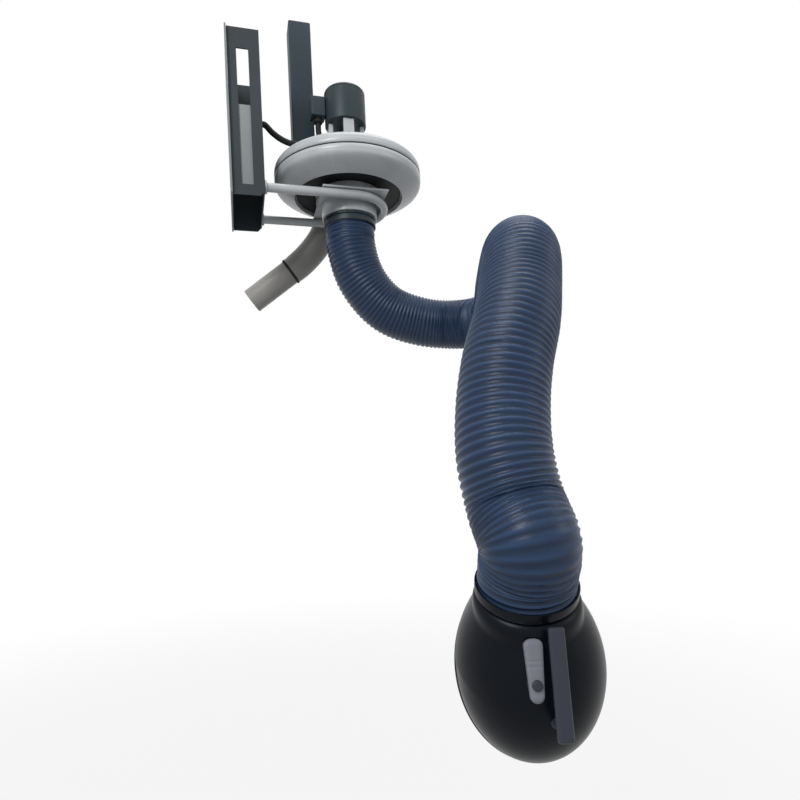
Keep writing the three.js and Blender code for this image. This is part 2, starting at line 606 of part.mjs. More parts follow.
// Hose route: down from the inlet, out along the wall, forward on the level boom, over the crown and down
const hoseTop = collarLow - GAP - SPIGOT_FLANGE - GAP;
const hoodAxis = vector(...HOOD_AXIS).normalize();
const hoseDrop = vector(FAN_X, 0, hoseTop - HOSE_TOP_STRAIGHT);
const knuckle = hoseDrop.clone().add(vector(SHOULDER_OUT, -SHOULDER_FORWARD, -SHOULDER_FALL));
const crown = knuckle.clone().add(vector(-BOOM_INWARD, -BOOM_REACH, -BOOM_FALL));
const wrist = crown.clone().add(vector(-FOREARM_INWARD, -FOREARM_REACH, -FOREARM_FALL));
const hoseEnd = wrist.clone().add(vector(...NECK_OFFSET));

// Points between two places: each is a share of the way between them along X, Y and Z.
const between = (from, to, shares) => shares.map(([x, y, z]) => vector(
  from.x + x * (to.x - from.x), from.y + y * (to.y - from.y), from.z + z * (to.z - from.z)));
const neckBack = (length) => hoseEnd.clone().addScaledVector(hoodAxis, -length);
const route = new THREE.CatmullRomCurve3([
  vector(FAN_X, 0, hoseTop), vector(FAN_X, 0, hoseTop - HOSE_TOP_STRAIGHT / 2), hoseDrop,
  ...between(hoseDrop, knuckle, SHOULDER_BEND), knuckle,
  ...between(knuckle, crown, BOOM_BEND), crown,
  ...between(crown, wrist, FOREARM_BEND), wrist,
  neckBack(HOSE_END_STRAIGHT), neckBack(HOSE_END_STRAIGHT / 2), hoseEnd,
]);
route.arcLengthDivisions = ROUTE_DIVISIONS;
const routeLength = route.getLength();

// Length along the route that comes closest to a point.
function lengthNear(target) {
  let best = 0;
  let bestDistance = Infinity;
  for (let i = 0; i <= ROUTE_DIVISIONS; i += 1) {
    const distance = route.getPointAt(i / ROUTE_DIVISIONS).distanceTo(target);
    if (distance < bestDistance) {
      bestDistance = distance;
      best = (i / ROUTE_DIVISIONS) * routeLength;
    }
  }
  return best;
}
const pointAt = (length) => route.getPointAt(length / routeLength);
const wayAt = (length) => route.getTangentAt(length / routeLength);

const knuckleLength = lengthNear(knuckle);
const elbowLength = lengthNear(crown) - ELBOW_BEFORE_CROWN;
const wristLength = lengthNear(wrist);
const firstCut = (knuckleLength + elbowLength) / 2;
const secondCut = (elbowLength + wristLength) / 2;

// Steady frames along the route: each side direction is the one before it, laid square to the new heading.
function framesAlong(from, to, spacingCount) {
  const frames = [];
  let side = vector(0, -1, 0);
  for (let i = 0; i <= spacingCount; i += 1) {
    const length = from + ((to - from) * i) / spacingCount;
    const way = wayAt(length);
    side = side.clone().addScaledVector(way, -side.dot(way)).normalize();
    frames.push({ middle: pointAt(length), side, up: new THREE.Vector3().crossVectors(way, side) });
  }
  return frames;
}

// Ribbed hose: outside rings alternate between rib and valley, and a plain bore runs back inside.
function ribbedHose(from, to) {
  const ribs = Math.round((to - from) / RIB_PITCH);
  const frames = framesAlong(from, to, ribs * 2);
  const positions = [];
  const rings = [];
  const addRing = (frame, radius) => {
    const start = positions.length / 3;
    for (let i = 0; i < RIB_POINTS; i += 1) {
      const angle = (i / RIB_POINTS) * Math.PI * 2;
      const point = frame.middle.clone().addScaledVector(frame.side, radius * Math.cos(angle))
        .addScaledVector(frame.up, radius * Math.sin(angle));
      positions.push(point.x, point.y, point.z);
    }
    rings.push(start);
  };
  frames.forEach((frame, i) => addRing(frame, i % 2 === 1 ? HOSE_RIB_RADIUS : HOSE_VALLEY_RADIUS));
  for (let i = ribs * 2; i > 0; i -= BORE_RIBS * 2) addRing(frames[i], HOSE_BORE_RADIUS);
  addRing(frames[0], HOSE_BORE_RADIUS);
  const index = [];
  rings.forEach((start, r) => {
    const next = rings[(r + 1) % rings.length];
    for (let i = 0; i < RIB_POINTS; i += 1) {
      const j = (i + 1) % RIB_POINTS;
      index.push(start + i, start + j, next + j, start + i, next + j, next + i);
    }
  });
  const geometry = new THREE.BufferGeometry();
  geometry.setAttribute('position', new THREE.BufferAttribute(new Float32Array(positions), 3));
  geometry.setIndex(index);
  return geometry;
}
piece('hose_upper', ribbedHose(0, firstCut - GAP / 2), hoseFabric);
piece('hose_middle', ribbedHose(firstCut + GAP / 2, secondCut - GAP / 2), hoseFabric);
piece('hose_lower', ribbedHose(secondCut + GAP / 2, routeLength), hoseFabric);

// Swivel spigot: its lip rests in the collar, its flange meets the hose and its sleeve fills the hose end
const sleeveRadius = HOSE_BORE_RADIUS * Math.cos(Math.PI / RIB_POINTS) - SLEEVE_CLEARANCE;
const lipLow = collarLow + COLLAR_WALL + GAP;
const spigotFlangeHigh = collarLow - GAP;
const spigotFlangeLow = spigotFlangeHigh - SPIGOT_FLANGE;
const sleeveInner = sleeveRadius - SLEEVE_WALL;
const spigotFlangeRadius = HOSE_RIB_RADIUS + SPIGOT_FLANGE_PROUD;
const spigotNeck = within(INLET_RADIUS - COLLAR_LIP);
const spigotLip = within(INLET_RADIUS);
piece('swivel_spigot', turned([
  [sleeveInner, spigotFlangeLow - SPIGOT_SLEEVE], [sleeveRadius, spigotFlangeLow - SPIGOT_SLEEVE],
  [sleeveRadius, spigotFlangeLow], [spigotFlangeRadius, spigotFlangeLow],
  [spigotFlangeRadius, spigotFlangeHigh], [spigotNeck, spigotFlangeHigh],
  [spigotNeck, lipLow], [spigotLip, lipLow], [spigotLip, lipLow + COLLAR_WALL],
  [sleeveInner, lipLow + COLLAR_WALL], [sleeveInner, spigotFlangeLow - SPIGOT_SLEEVE],
]).translate(FAN_X, 0, 0), blackSteel);
const spiderZ = spigotFlangeLow - SPIDER_BAR;
const sleeveFlat = sleeveInner * Math.cos(Math.PI / ROUND_SIDES) - GAP;
const spiderLength = 2 * Math.sqrt(sleeveFlat ** 2 - (SPIDER_BAR / 2) ** 2);
let spider = solid(disc(EYE_RADIUS, spiderZ - SPIDER_BAR, spiderZ + SPIDER_BAR / 2));
spider = spider.add(solid(box(0, 0, spiderZ, spiderLength, SPIDER_BAR, SPIDER_BAR)));
spider = spider.add(solid(box(0, 0, spiderZ, SPIDER_BAR, spiderLength, SPIDER_BAR)));
piece('swivel_spider', shape(spider).translate(FAN_X, 0, 0), castAlloy);

// Round band about the hose, square to the route
function clampBand(length) {
  const inner = around(HOSE_RIB_RADIUS);
  return ring(inner, inner + CLAMP_THICKNESS, -CLAMP_WIDTH / 2, CLAMP_WIDTH / 2)
    .applyMatrix4(placed(pointAt(length), wayAt(length), CLAMP_SIDE));
}
const clampFromEnd = CLAMP_EDGE + CLAMP_WIDTH / 2;
piece('hose_clamp_top', clampBand(clampFromEnd), zinc);
piece('hose_clamp_hood', clampBand(routeLength - clampFromEnd), zinc);

// Pivot of the inner arm: a fork of two cheeks, an eye between them, two friction washers and a pin.
// Local Z is the pivot axis and local X points back along the fork's own link.
const cheekInner = EYE_THICKNESS / 2 + GAP + WASHER_THICKNESS + GAP;
const cheekOuter = cheekInner + CHEEK_THICKNESS;
function forkSolid() {
  const bridgeX = CHEEK_REACH + BRIDGE_LENGTH / 2;
  let fork = solid(box(bridgeX, 0, 0, BRIDGE_LENGTH, CHEEK_WIDTH, 2 * cheekOuter));
  for (const side of [-1, 1]) {
    const [low, high] = side > 0 ? [cheekInner, cheekOuter] : [-cheekOuter, -cheekInner];
    fork = fork.add(solid(disc(EYE_RADIUS, low, high, PIVOT_SIDES)));
    fork = fork.add(solid(box(bridgeX / 2, 0, (low + high) / 2, bridgeX, CHEEK_WIDTH, CHEEK_THICKNESS)));
  }
  return fork.subtract(solid(disc(PIN_RADIUS + GAP, -cheekOuter * 2, cheekOuter * 2, PIN_SIDES)));
}
const eyeOuter = EYE_RADIUS - OVERLAP;
const eyeBore = PIN_RADIUS + RUNNING_GAP;
const eyeSolid = () => solid(ring(eyeBore, eyeOuter, -EYE_THICKNESS / 2, EYE_THICKNESS / 2, PIVOT_SIDES));
function linkTube(from, to) {
  const steps = Math.max(LINK_LEAST_STEPS, Math.round((to - from) / LINK_STEP));
  return solid(swept(roundOutline(LINK_RADIUS, CORD_SIDES), new Stretch(route, from, to), steps));
}
const transformed = (body, matrix) => solid(shape(body).applyMatrix4(matrix));

function pivotMatrix(length, axis) {
  return placed(pointAt(length), axis, wayAt(length).negate());
}
const levelAxis = (length) => new THREE.Vector3().crossVectors(upAxis, wayAt(length)).setZ(0).normalize();
const elbowAxis = levelAxis(elbowLength);
const wristAxis = levelAxis(wristLength);
const acrossWay = vector(...HOOD_ACROSS);
const knuckleMatrix = pivotMatrix(knuckleLength, upAxis);
const elbowMatrix = pivotMatrix(elbowLength, elbowAxis);
const wristMatrix = pivotMatrix(wristLength, wristAxis);
function pivotHardware(name, matrix) {
  const reach = cheekOuter + GAP;
  let pin = solid(disc(PIN_RADIUS, -reach - OVERLAP, reach + OVERLAP, PIN_SIDES));
  pin = pin.add(solid(disc(PIN_HEAD_RADIUS, reach, reach + PIN_HEAD_HEIGHT, PIN_SIDES)));
  pin = pin.add(solid(disc(PIN_HEAD_RADIUS, -reach - PIN_HEAD_HEIGHT, -reach, PIN_SIDES)));
  piece(`${name}_pin`, shape(pin).applyMatrix4(matrix), zinc);
  const washerLow = EYE_THICKNESS / 2 + GAP;
  const washer = (low) => ring(PIN_RADIUS + GAP, WASHER_RADIUS, low, low + WASHER_THICKNESS, PIN_SIDES);
  piece(`${name}_washer_upper`, washer(washerLow).applyMatrix4(matrix), brass);
  piece(`${name}_washer_lower`, washer(-washerLow - WASHER_THICKNESS).applyMatrix4(matrix), brass);
}
const forkEnd = CHEEK_REACH + BRIDGE_LENGTH / 3;
const eyeStart = EYE_RADIUS * EYE_ROOT;
const innerStart = hoseTop - (spiderZ - SPIDER_BAR) + GAP;
const innerBoom = linkTube(innerStart, knuckleLength - forkEnd).add(transformed(forkSolid(), knuckleMatrix));
piece('inner_boom', shape(innerBoom), blackSteel);
pivotHardware('knuckle', knuckleMatrix);
const outerBoom = linkTube(knuckleLength + eyeStart, elbowLength - forkEnd)
  .add(transformed(eyeSolid(), knuckleMatrix)).add(transformed(forkSolid(), elbowMatrix));
piece('outer_boom', shape(outerBoom), blackSteel);
pivotHardware('elbow', elbowMatrix);
const forearm = linkTube(elbowLength + eyeStart, wristLength - forkEnd)
  .add(transformed(eyeSolid(), elbowMatrix)).add(transformed(forkSolid(), wristMatrix));
piece('forearm_link', shape(forearm), blackSteel);
pivotHardware('wrist', wristMatrix);

// Hood: a deep scoop with an oval mouth, hung from a round neck in the hose end.
// Its own frame: local Z leaves the scoop's back, local X goes across, local Y points up along the scoop.
const mouthWay = vector(...MOUTH_WAY).normalize();
const mouthMiddle = hoseEnd.clone().add(vector(...MOUTH_OFFSET));
const hoodMatrix = placed(mouthMiddle, mouthWay.clone().negate(), acrossWay);
const hoodInverse = hoodMatrix.clone().invert();
const neckStart = hoseEnd.clone().addScaledVector(hoodAxis, GAP);
const neckMatrix = hoodInverse.clone().multiply(placed(neckStart, hoodAxis, acrossWay));
const scoop = (inset) => new THREE.SphereGeometry(1, SCOOP_SIDES, SCOOP_ROWS)
  .scale(HOOD_HALF_WIDTH - inset, HOOD_HALF_HEIGHT - inset, HOOD_DEPTH - inset);
const flareSlope = (NECK_FLARE_RADIUS - NECK_OUTER_RADIUS) / NECK_FLARE_LENGTH;
function flare(inset, low, high) {
  const radiusAt = (height) => NECK_OUTER_RADIUS - inset + flareSlope * height;
  return turned([[0, low], [radiusAt(low), low], [radiusAt(high), high], [0, high]]).applyMatrix4(neckMatrix);
}
const clearOfHood = 2 * (HOOD_HALF_HEIGHT + HOOD_DEPTH);
const behindMouth = solid(box(0, 0, clearOfHood / 2, clearOfHood * 2, clearOfHood * 2, clearOfHood));
const skin = solid(scoop(0)).add(solid(flare(0, 0, NECK_FLARE_LENGTH))).intersect(behindMouth);
const neckBore = solid(flare(HOOD_WALL, -OVERLAP, NECK_FLARE_LENGTH - HOOD_WALL));
const hoseRoom = solid(disc(NECK_OUTER_RADIUS + CLAMP_WIDTH, -NECK_SLEEVE, 0).applyMatrix4(neckMatrix));
let hood = skin.subtract(solid(scoop(HOOD_WALL))).subtract(neckBore).subtract(hoseRoom);

// Depth of the scoop's back at a place on it, measured from the mouth plane.
function backDepth(x, y) {
  return HOOD_DEPTH * Math.sqrt(1 - (x / HOOD_HALF_WIDTH) ** 2 - (y / HOOD_HALF_HEIGHT) ** 2);
}

// Damper: a lever on the scoop's back turns a spindle in a bush, with a round blade inside
const spindleY = -LEVER_DROP;
const spindleBack = backDepth(LEVER_SIDE, spindleY);
const bushHole = disc(BUSH_RADIUS + GAP, spindleBack / 2, HOOD_DEPTH * 2).translate(LEVER_SIDE, spindleY, 0);
hood = hood.subtract(solid(bushHole));
piece('hood_shell', shape(hood).applyMatrix4(hoodMatrix), blackGloss);
const bushHigh = spindleBack + BUSH_PROUD;
piece('damper_bush', ring(SPINDLE_RADIUS + GAP, BUSH_RADIUS, bushHigh - BUSH_LENGTH, bushHigh)
  .translate(LEVER_SIDE, spindleY, 0).applyMatrix4(hoodMatrix), rubber);
const leverLow = bushHigh + GAP;
const leverHigh = leverLow + LEVER_THICKNESS;
const leverOutline = new THREE.Shape([
  [-LEVER_TIP_WIDTH / 2, -LEVER_TIP_REACH], [LEVER_TIP_WIDTH / 2, -LEVER_TIP_REACH],
  [LEVER_TOP_WIDTH / 2, LEVER_TOP_REACH], [-LEVER_TOP_WIDTH / 2, LEVER_TOP_REACH],
].map(([x, y]) => new THREE.Vector2(x, y)));
const leverBlock = new THREE.ExtrudeGeometry(leverOutline, { depth: LEVER_THICKNESS, bevelEnabled: false });
const leverHole = solid(disc(SPINDLE_RADIUS + GAP, 0, leverHigh * 2));
const leverBody = solid(leverBlock.translate(0, 0, leverLow)).subtract(leverHole);
piece('damper_lever', shape(leverBody).translate(LEVER_SIDE, spindleY, 0).applyMatrix4(hoodMatrix), gripGrey);
piece('damper_spindle', disc(SPINDLE_RADIUS, DAMPER_MIDDLE + DAMPER_RADIUS + GAP, leverHigh, SMALL_SIDES)
  .translate(LEVER_SIDE, spindleY, 0).applyMatrix4(hoodMatrix), zinc);
piece('lever_cap', disc(CAP_RADIUS, leverHigh + GAP, leverHigh + GAP + LEVER_CAP_HEIGHT, SMALL_SIDES)
  .translate(LEVER_SIDE, spindleY, 0).applyMatrix4(hoodMatrix), gripGrey);
const blade = disc(DAMPER_RADIUS, -DAMPER_THICKNESS / 2, DAMPER_THICKNESS / 2, FAN_SIDES);
blade.rotateX(Math.PI / 2).translate(LEVER_SIDE, spindleY, DAMPER_MIDDLE);
piece('damper_blade', blade.applyMatrix4(hoodMatrix), zinc);

// Handle: a flat moulded grip bar with two posts, beside the lever
const handlePostY = HANDLE_LENGTH / 2 - HANDLE_POST_INSET;
const handleLow = HOOD_DEPTH + HANDLE_STAND - HANDLE_THICKNESS;
const handleZ = handleLow + HANDLE_THICKNESS / 2;
let handle = solid(box(HANDLE_SIDE, -HANDLE_DROP, handleZ, HANDLE_WIDTH, HANDLE_LENGTH, HANDLE_THICKNESS));
const hoodGrown = solid(scoop(-GAP)).add(solid(flare(-GAP, -GAP, NECK_FLARE_LENGTH)));
for (const side of [-1, 1]) {
  const postRoot = backDepth(HANDLE_SIDE, handlePostY + HANDLE_DROP) / 2;
  const post = disc(HANDLE_POST_RADIUS, postRoot, handleZ, SMALL_SIDES);
  const postBody = solid(post.translate(HANDLE_SIDE, side * handlePostY - HANDLE_DROP, 0));
  handle = handle.add(postBody.subtract(hoodGrown));
}
piece('handle', shape(handle).applyMatrix4(hoodMatrix), gripGrey);

// Rim trim: a rubber edging round the mouth
function rimOutline(proud) {
  const middleX = HOOD_HALF_WIDTH - HOOD_WALL / 2;
  const middleY = HOOD_HALF_HEIGHT - HOOD_WALL / 2;
  const oval = new THREE.EllipseCurve(0, 0, middleX + proud, middleY + proud);
  return oval.getPoints(TRIM_SIDES).slice(0, TRIM_SIDES);
}
const trimOutline = new THREE.Shape(rimOutline(TRIM_HALF_WIDTH));
trimOutline.holes.push(new THREE.Path(rimOutline(-TRIM_HALF_WIDTH)));
const trimSettings = { depth: TRIM_DEPTH, bevelEnabled: false, curveSegments: 1 };
piece('rim_trim', new THREE.ExtrudeGeometry(trimOutline, trimSettings)
  .translate(0, 0, -GAP - TRIM_DEPTH).applyMatrix4(hoodMatrix), rubber);

// Neck ring: joins the hood to the hose end and carries the hood's spider
const neckFrame = placed(hoseEnd, hoodAxis, acrossWay);
piece('neck_sleeve', turned([
  [sleeveInner, -NECK_SLEEVE], [sleeveRadius, -NECK_SLEEVE], [sleeveRadius, GAP * 2 + NECK_FLANGE],
  [sleeveInner, GAP * 2 + NECK_FLANGE], [sleeveInner, -NECK_SLEEVE],
]).applyMatrix4(neckFrame), blackSteel);
const eyeReach = routeLength - NECK_SPIDER_INSET;
let hoodLink = linkTube(wristLength + eyeStart, eyeReach).add(transformed(eyeSolid(), wristMatrix));
const barMatrix = placed(pointAt(eyeReach), hoodAxis, acrossWay);
hoodLink = hoodLink.add(transformed(solid(box(0, 0, 0, spiderLength, SPIDER_BAR, SPIDER_BAR)), barMatrix));
piece('hood_spider', shape(hoodLink), castAlloy);

export default group;
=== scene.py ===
# Fume extraction arm on a wall channel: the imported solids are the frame, and the pieces below dress them.
# One section for each piece or group, in the order in which the arm is put together, all in metres.
import math

import bmesh
import bpy
import numpy as np
from mathutils import Matrix, Vector


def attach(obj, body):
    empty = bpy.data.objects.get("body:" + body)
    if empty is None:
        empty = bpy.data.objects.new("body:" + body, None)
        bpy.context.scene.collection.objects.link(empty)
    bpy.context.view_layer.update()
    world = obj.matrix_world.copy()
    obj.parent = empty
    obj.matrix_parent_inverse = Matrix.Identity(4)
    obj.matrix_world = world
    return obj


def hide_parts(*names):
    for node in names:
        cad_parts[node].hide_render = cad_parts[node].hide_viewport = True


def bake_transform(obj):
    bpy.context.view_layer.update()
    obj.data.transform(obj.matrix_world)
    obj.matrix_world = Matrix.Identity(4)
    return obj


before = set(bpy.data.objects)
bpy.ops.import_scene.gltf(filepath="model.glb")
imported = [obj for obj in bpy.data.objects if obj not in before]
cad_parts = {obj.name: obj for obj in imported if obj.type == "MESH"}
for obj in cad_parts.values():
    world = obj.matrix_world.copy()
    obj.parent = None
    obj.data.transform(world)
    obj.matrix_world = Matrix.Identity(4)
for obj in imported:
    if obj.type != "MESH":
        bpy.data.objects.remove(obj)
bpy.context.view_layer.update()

# The photograph's viewpoint: a level camera near the hood, about one metre below the fan and two in front,
# with a wide lens. The horizon lies a little under the picture's middle, and the camera leans 2.5 degrees.
PICTURE_SIDE = 800.0
FOCAL_PIXELS = 600.0
HORIZON_PIXEL = 476.0
SENSOR_MM = 36.0
TURN = math.radians(15.0)
LEAN = math.radians(2.5)
CAMERA_PLACE = (-0.0119, -1.9165, -1.0570)
FARTHEST_SEEN = 120.0
looking = Vector((math.sin(TURN), math.cos(TURN), 0.0))
level_right = Vector((math.cos(TURN), -math.sin(TURN), 0.0))
upright = Vector((0.0, 0.0, 1.0))
camera_right = math.cos(LEAN) * level_right - math.sin(LEAN) * upright
camera_up = math.sin(LEAN) * level_right + math.cos(LEAN) * upright
camera_data = bpy.data.cameras.new("photo_camera")
camera_data.sensor_width = SENSOR_MM
camera_data.lens = SENSOR_MM * FOCAL_PIXELS / PICTURE_SIDE
camera_data.shift_y = (HORIZON_PIXEL - PICTURE_SIDE / 2) / PICTURE_SIDE
camera_data.clip_end = FARTHEST_SEEN
camera = bpy.data.objects.new("photo_camera", camera_data)
turned_to = Matrix((camera_right, camera_up, -looking)).transposed().to_4x4()
camera.matrix_world = Matrix.Translation(CAMERA_PLACE) @ turned_to
bpy.context.scene.collection.objects.link(camera)
bpy.context.scene.camera = camera

# The studio: a plain white paper floor under the hanging arm, white all round, and three large soft lamps.
# The eye and reflections find floor and sky white, while the rays that light the object find a plain level.
FLOOR_Z = -2.15
FLOOR_SIDE = 90.0
SKY_LIGHT = 0.62
FLOOR_GREY = "a8a8a8"
# The floor keeps the arm's shadow near its middle and is pure white from the second distance outwards.
SHADE_UNTIL = 2.2
WHITE_FROM = 4.5
WHITE_SHARE_NEAR = 0.86
LAMPS = (
    # name, place, target, width across, watts
    ("key_lamp", (-1.9, -3.1, 1.5), (0.45, -0.6, -0.6), 1.8, 104.0),
    ("side_lamp", (3.2, -2.6, 0.2), (0.45, -0.7, -0.7), 1.6, 12.0),
    ("top_lamp", (0.9, -0.4, 2.4), (0.4, -0.3, -0.3), 2.0, 30.0),
)


def linear(code):
    """Linear colour of an sRGB hex code: below 0.04045 the value over 12.92, above it a power of 2.4."""
    values = np.array([int(code[place:place + 2], 16) / 255.0 for place in (0, 2, 4)])
    values = np.where(values <= 0.04045, values / 12.92, ((values + 0.055) / 1.055) ** 2.4)
    return (*[float(value) for value in values], 1.0)


def add(tree, kind, settings, links):
    """Adds one shader node. Lower-case settings are its own options, and the others its sockets' values."""
    node = tree.nodes.new("ShaderNode" + kind)
    for key, value in settings.items():
        if isinstance(key, str) and key[0].islower():
            setattr(node, key, value)
        else:
            node.inputs[key].default_value = value
    for key, socket in links.items():
        tree.links.new(socket, node.inputs[key])
    return node


def white_rays(tree):
    """1 for rays of the eye, of reflections and through glass, and 0 for the rays that light the object."""
    path = add(tree, "LightPath", {}, {})
    seen = add(tree, "Math", {"operation": "MAXIMUM"},
               {0: path.outputs["Is Camera Ray"], 1: path.outputs["Is Glossy Ray"]})
    shown = add(tree, "Math", {"operation": "MAXIMUM"},
                {0: seen.outputs[0], 1: path.outputs["Is Transmission Ray"]})
    return shown.outputs[0]


bpy.context.scene.view_settings.view_transform = "Standard"
world = bpy.data.worlds.new("white_studio")
bpy.context.scene.world = world
world.use_nodes = True
sky = world.node_tree
sky.nodes.clear()
sky_shown = white_rays(sky)
sky_light = add(sky, "Background", {"Color": linear("ffffff"), "Strength": SKY_LIGHT}, {})
sky_white = add(sky, "Background", {"Color": linear("ffffff"), "Strength": 1.0}, {})
sky_mix = add(sky, "MixShader", {}, {0: sky_shown, 1: sky_light.outputs[0], 2: sky_white.outputs[0]})
add(sky, "OutputWorld", {}, {"Surface": sky_mix.outputs[0]})

floor_mesh = bpy.data.meshes.new("studio_floor")
floor_half = FLOOR_SIDE / 2
floor_corners = [(-floor_half, -floor_half, FLOOR_Z), (floor_half, -floor_half, FLOOR_Z),
                 (floor_half, floor_half, FLOOR_Z), (-floor_half, floor_half, FLOOR_Z)]
floor_mesh.from_pydata(floor_corners, [], [(0, 1, 2, 3)])
floor = bpy.data.objects.new("studio_floor", floor_mesh)
bpy.context.scene.collection.objects.link(floor)
floor_paper = bpy.data.materials.new("white_paper_floor")
floor_paper.use_nodes = True
paper = floor_paper.node_tree
paper.nodes.clear()
paper_shown = white_rays(paper)
paper_place = add(paper, "TexCoord", {}, {})
paper_far = add(paper, "VectorMath", {"operation": "LENGTH"}, {0: paper_place.outputs["Object"]})
paper_fade = add(paper, "MapRange", {"interpolation_type": "SMOOTHSTEP", "From Min": SHADE_UNTIL,
                                     "From Max": WHITE_FROM, "To Min": WHITE_SHARE_NEAR, "To Max": 1.0},
                 {"Value": paper_far.outputs["Value"]})
paper_eye = add(paper, "Math", {"operation": "MULTIPLY"}, {0: paper_shown, 1: paper_fade.outputs[0]})
paper_dull = add(paper, "BsdfDiffuse", {"Color": linear(FLOOR_GREY)}, {})
paper_white = add(paper, "Emission", {"Color": linear("ffffff"), "Strength": 1.0}, {})
paper_mix = add(paper, "MixShader", {},
                {0: paper_eye.outputs[0], 1: paper_dull.outputs[0], 2: paper_white.outputs[0]})
add(paper, "OutputMaterial", {}, {"Surface": paper_mix.outputs[0]})
floor_mesh.materials.append(floor_paper)

for lamp_name, lamp_place, lamp_target, lamp_side, lamp_power in LAMPS:
    lamp_data = bpy.data.lights.new(lamp_name, "AREA")
    lamp_data.shape = "DISK"
    lamp_data.size = lamp_side
    lamp_data.energy = lamp_power
    lamp = bpy.data.objects.new(lamp_name, lamp_data)
    aim = Vector(lamp_target) - Vector(lamp_place)
    lamp.matrix_world = Matrix.Translation(lamp_place) @ aim.to_track_quat("-Z", "Y").to_matrix().to_4x4()
    bpy.context.scene.collection.objects.link(lamp)

# The wall plate and the channel on it are folded steel sheet, powder coated grey. Cables run inside, and a
# pale strip closes the lower part of the slot in the side. Bolts through the plate hold it to the wall.
MM = 0.001
CHANNEL_GREY = "353c41"
PANEL_GREY = "828a8a"


def grained(name, code, rough, grit_mm, shine=0.2, metallic=0.0):
    """Baked powder, paint, rubber, moulded plastic or plain metal: a weak bump of the given grit, and clouds
    180 mm wide that make the tone and the gloss slightly uneven."""
    cloud_mm = 180
    cloud_ends = (0.3, 0.7)
    tone_shares = (0.86, 1.1)
    smoother, rougher = 0.06, 0.08
    material = bpy.data.materials.new(name)
    material.use_nodes = True
    tree = material.node_tree
    tree.nodes.clear()
    place = add(tree, "TexCoord", {}, {})
    cloud = add(tree, "TexNoise", {"Scale": 1 / (cloud_mm * MM), "Detail": 4.0},
                {"Vector": place.outputs["Object"]})
    grit = add(tree, "TexNoise", {"Scale": 1 / (grit_mm * MM), "Detail": 2.0},
               {"Vector": place.outputs["Object"]})
    tone = add(tree, "ValToRGB", {}, {0: cloud.outputs[0]})
    base = np.array(linear(code)[:3])
    for stop, position, share in zip(tone.color_ramp.elements, cloud_ends, tone_shares):
        stop.position = position
        stop.color = (*(base * share), 1.0)
    gloss = add(tree, "MapRange", {"To Min": rough - smoother, "To Max": rough + rougher},
                {"Value": cloud.outputs[0]})
    peel = add(tree, "Bump", {"Strength": 0.25, "Distance": 0.4 * MM}, {"Height": grit.outputs[0]})
    shader = add(tree, "BsdfPrincipled", {"IOR": 1.5, "Specular IOR Level": shine, "Metallic": metallic}, {
        "Base Color": tone.outputs[0], "Roughness": gloss.outputs[0], "Normal": peel.outputs[0]})
    add(tree, "OutputMaterial", {}, {"Surface": shader.outputs[0]})
    return material


def dress(material, *names):
    """Gives a material to CAD nodes that keep their own shape."""
    for name in names:
        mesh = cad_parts[name].data
        mesh.materials.clear()
        mesh.materials.append(material)


# Powder coat is baked on: it looks matt to satin, with a fine orange peel.
channel_coat = grained("dark_powder_coat", CHANNEL_GREY, 0.45, 1.6)
panel_coat = grained("pale_panel_coat", PANEL_GREY, 0.48, 1.6)
dress(channel_coat, "wall_channel")
dress(panel_coat, "wall_plate", "cable_cover_strip")

# The bracket is one steel tube bent like a hairpin, welded to two round flanges on the channel and enamelled
# grey. The fan's seat plate lies on its legs.
ENAMEL_GREY = "b3b7ba"
FAN_X = 370 * MM
LEG_Y = 112 * MM
LEG_START = 104.2 * MM
BRACKET_Z = -188 * MM
TUBE_RADIUS = 13 * MM
TUBE_WALL = 2 * MM
FLANGE_X = 97.6 * MM
FLANGE_RADIUS = 19 * MM
FLANGE_THICK = 6 * MM
FLANGE_EDGE = 1.5 * MM
# A turned piece with a solid middle keeps a hole of this radius on its axis, and so closes as a ring.
PINHOLE = 0.5 * MM


def patch(points, loop=False, caps=False):
    """Faces of a grid of points: columns always close round, rows close too in a loop, caps close both ends.
    Where the volume, the sum of corner · (corner × corner), is negative, all faces are turned outwards."""
    rows, columns = points.shape[:2]
    index = np.arange(rows * columns).reshape(rows, columns)
    first = index if loop else index[:-1]
    second = np.roll(index, -1, axis=0) if loop else index[1:]
    quads = np.stack([first, np.roll(first, -1, 1), np.roll(second, -1, 1), second], axis=-1).reshape(-1, 4)
    ends = [index[0][::-1].tolist(), index[-1].tolist()] if caps else []
    corners = points.reshape(-1, 3)
    a, b, c, d = (corners[quads[:, place]] for place in range(4))
    volume = np.sum(a * np.cross(b, c)) + np.sum(a * np.cross(c, d))
    for end in ends:
        ring = corners[end]
        volume += np.sum(ring[0] * np.cross(ring[1:-1], ring[2:]))
    if volume < 0:
        quads = quads[:, ::-1]
        ends = [end[::-1] for end in ends]
    return corners, quads, ends


def put(name, patches, material, body, slot_name, *nodes, sharp=35.0):
    """Joins patches into one smooth mesh, sharp where faces meet at more than the given degrees. It rides on
    a body, if one is given, and stands for CAD nodes."""
    same_place = 1e-6
    corners, faces, start = [], [], 0
    for points, quads, ends in patches:
        corners.append(points)
        faces += (quads + start).tolist() + [[corner + start for corner in end] for end in ends]
        start += len(points)
    mesh = bpy.data.meshes.new(name)
    mesh.from_pydata(np.concatenate(corners).tolist(), [], faces)
    work = bmesh.new()
    work.from_mesh(mesh)
    bmesh.ops.remove_doubles(work, verts=work.verts, dist=same_place)
    work.to_mesh(mesh)
    work.free()
    mesh.shade_smooth()
    mesh.set_sharp_from_angle(angle=math.radians(sharp))
    mesh.materials.append(material)
    piece = bpy.data.objects.new(name, mesh)
    bpy.context.scene.collection.objects.link(piece)
    if body:
        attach(piece, body)
    if nodes:
        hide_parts(*nodes)
    return piece


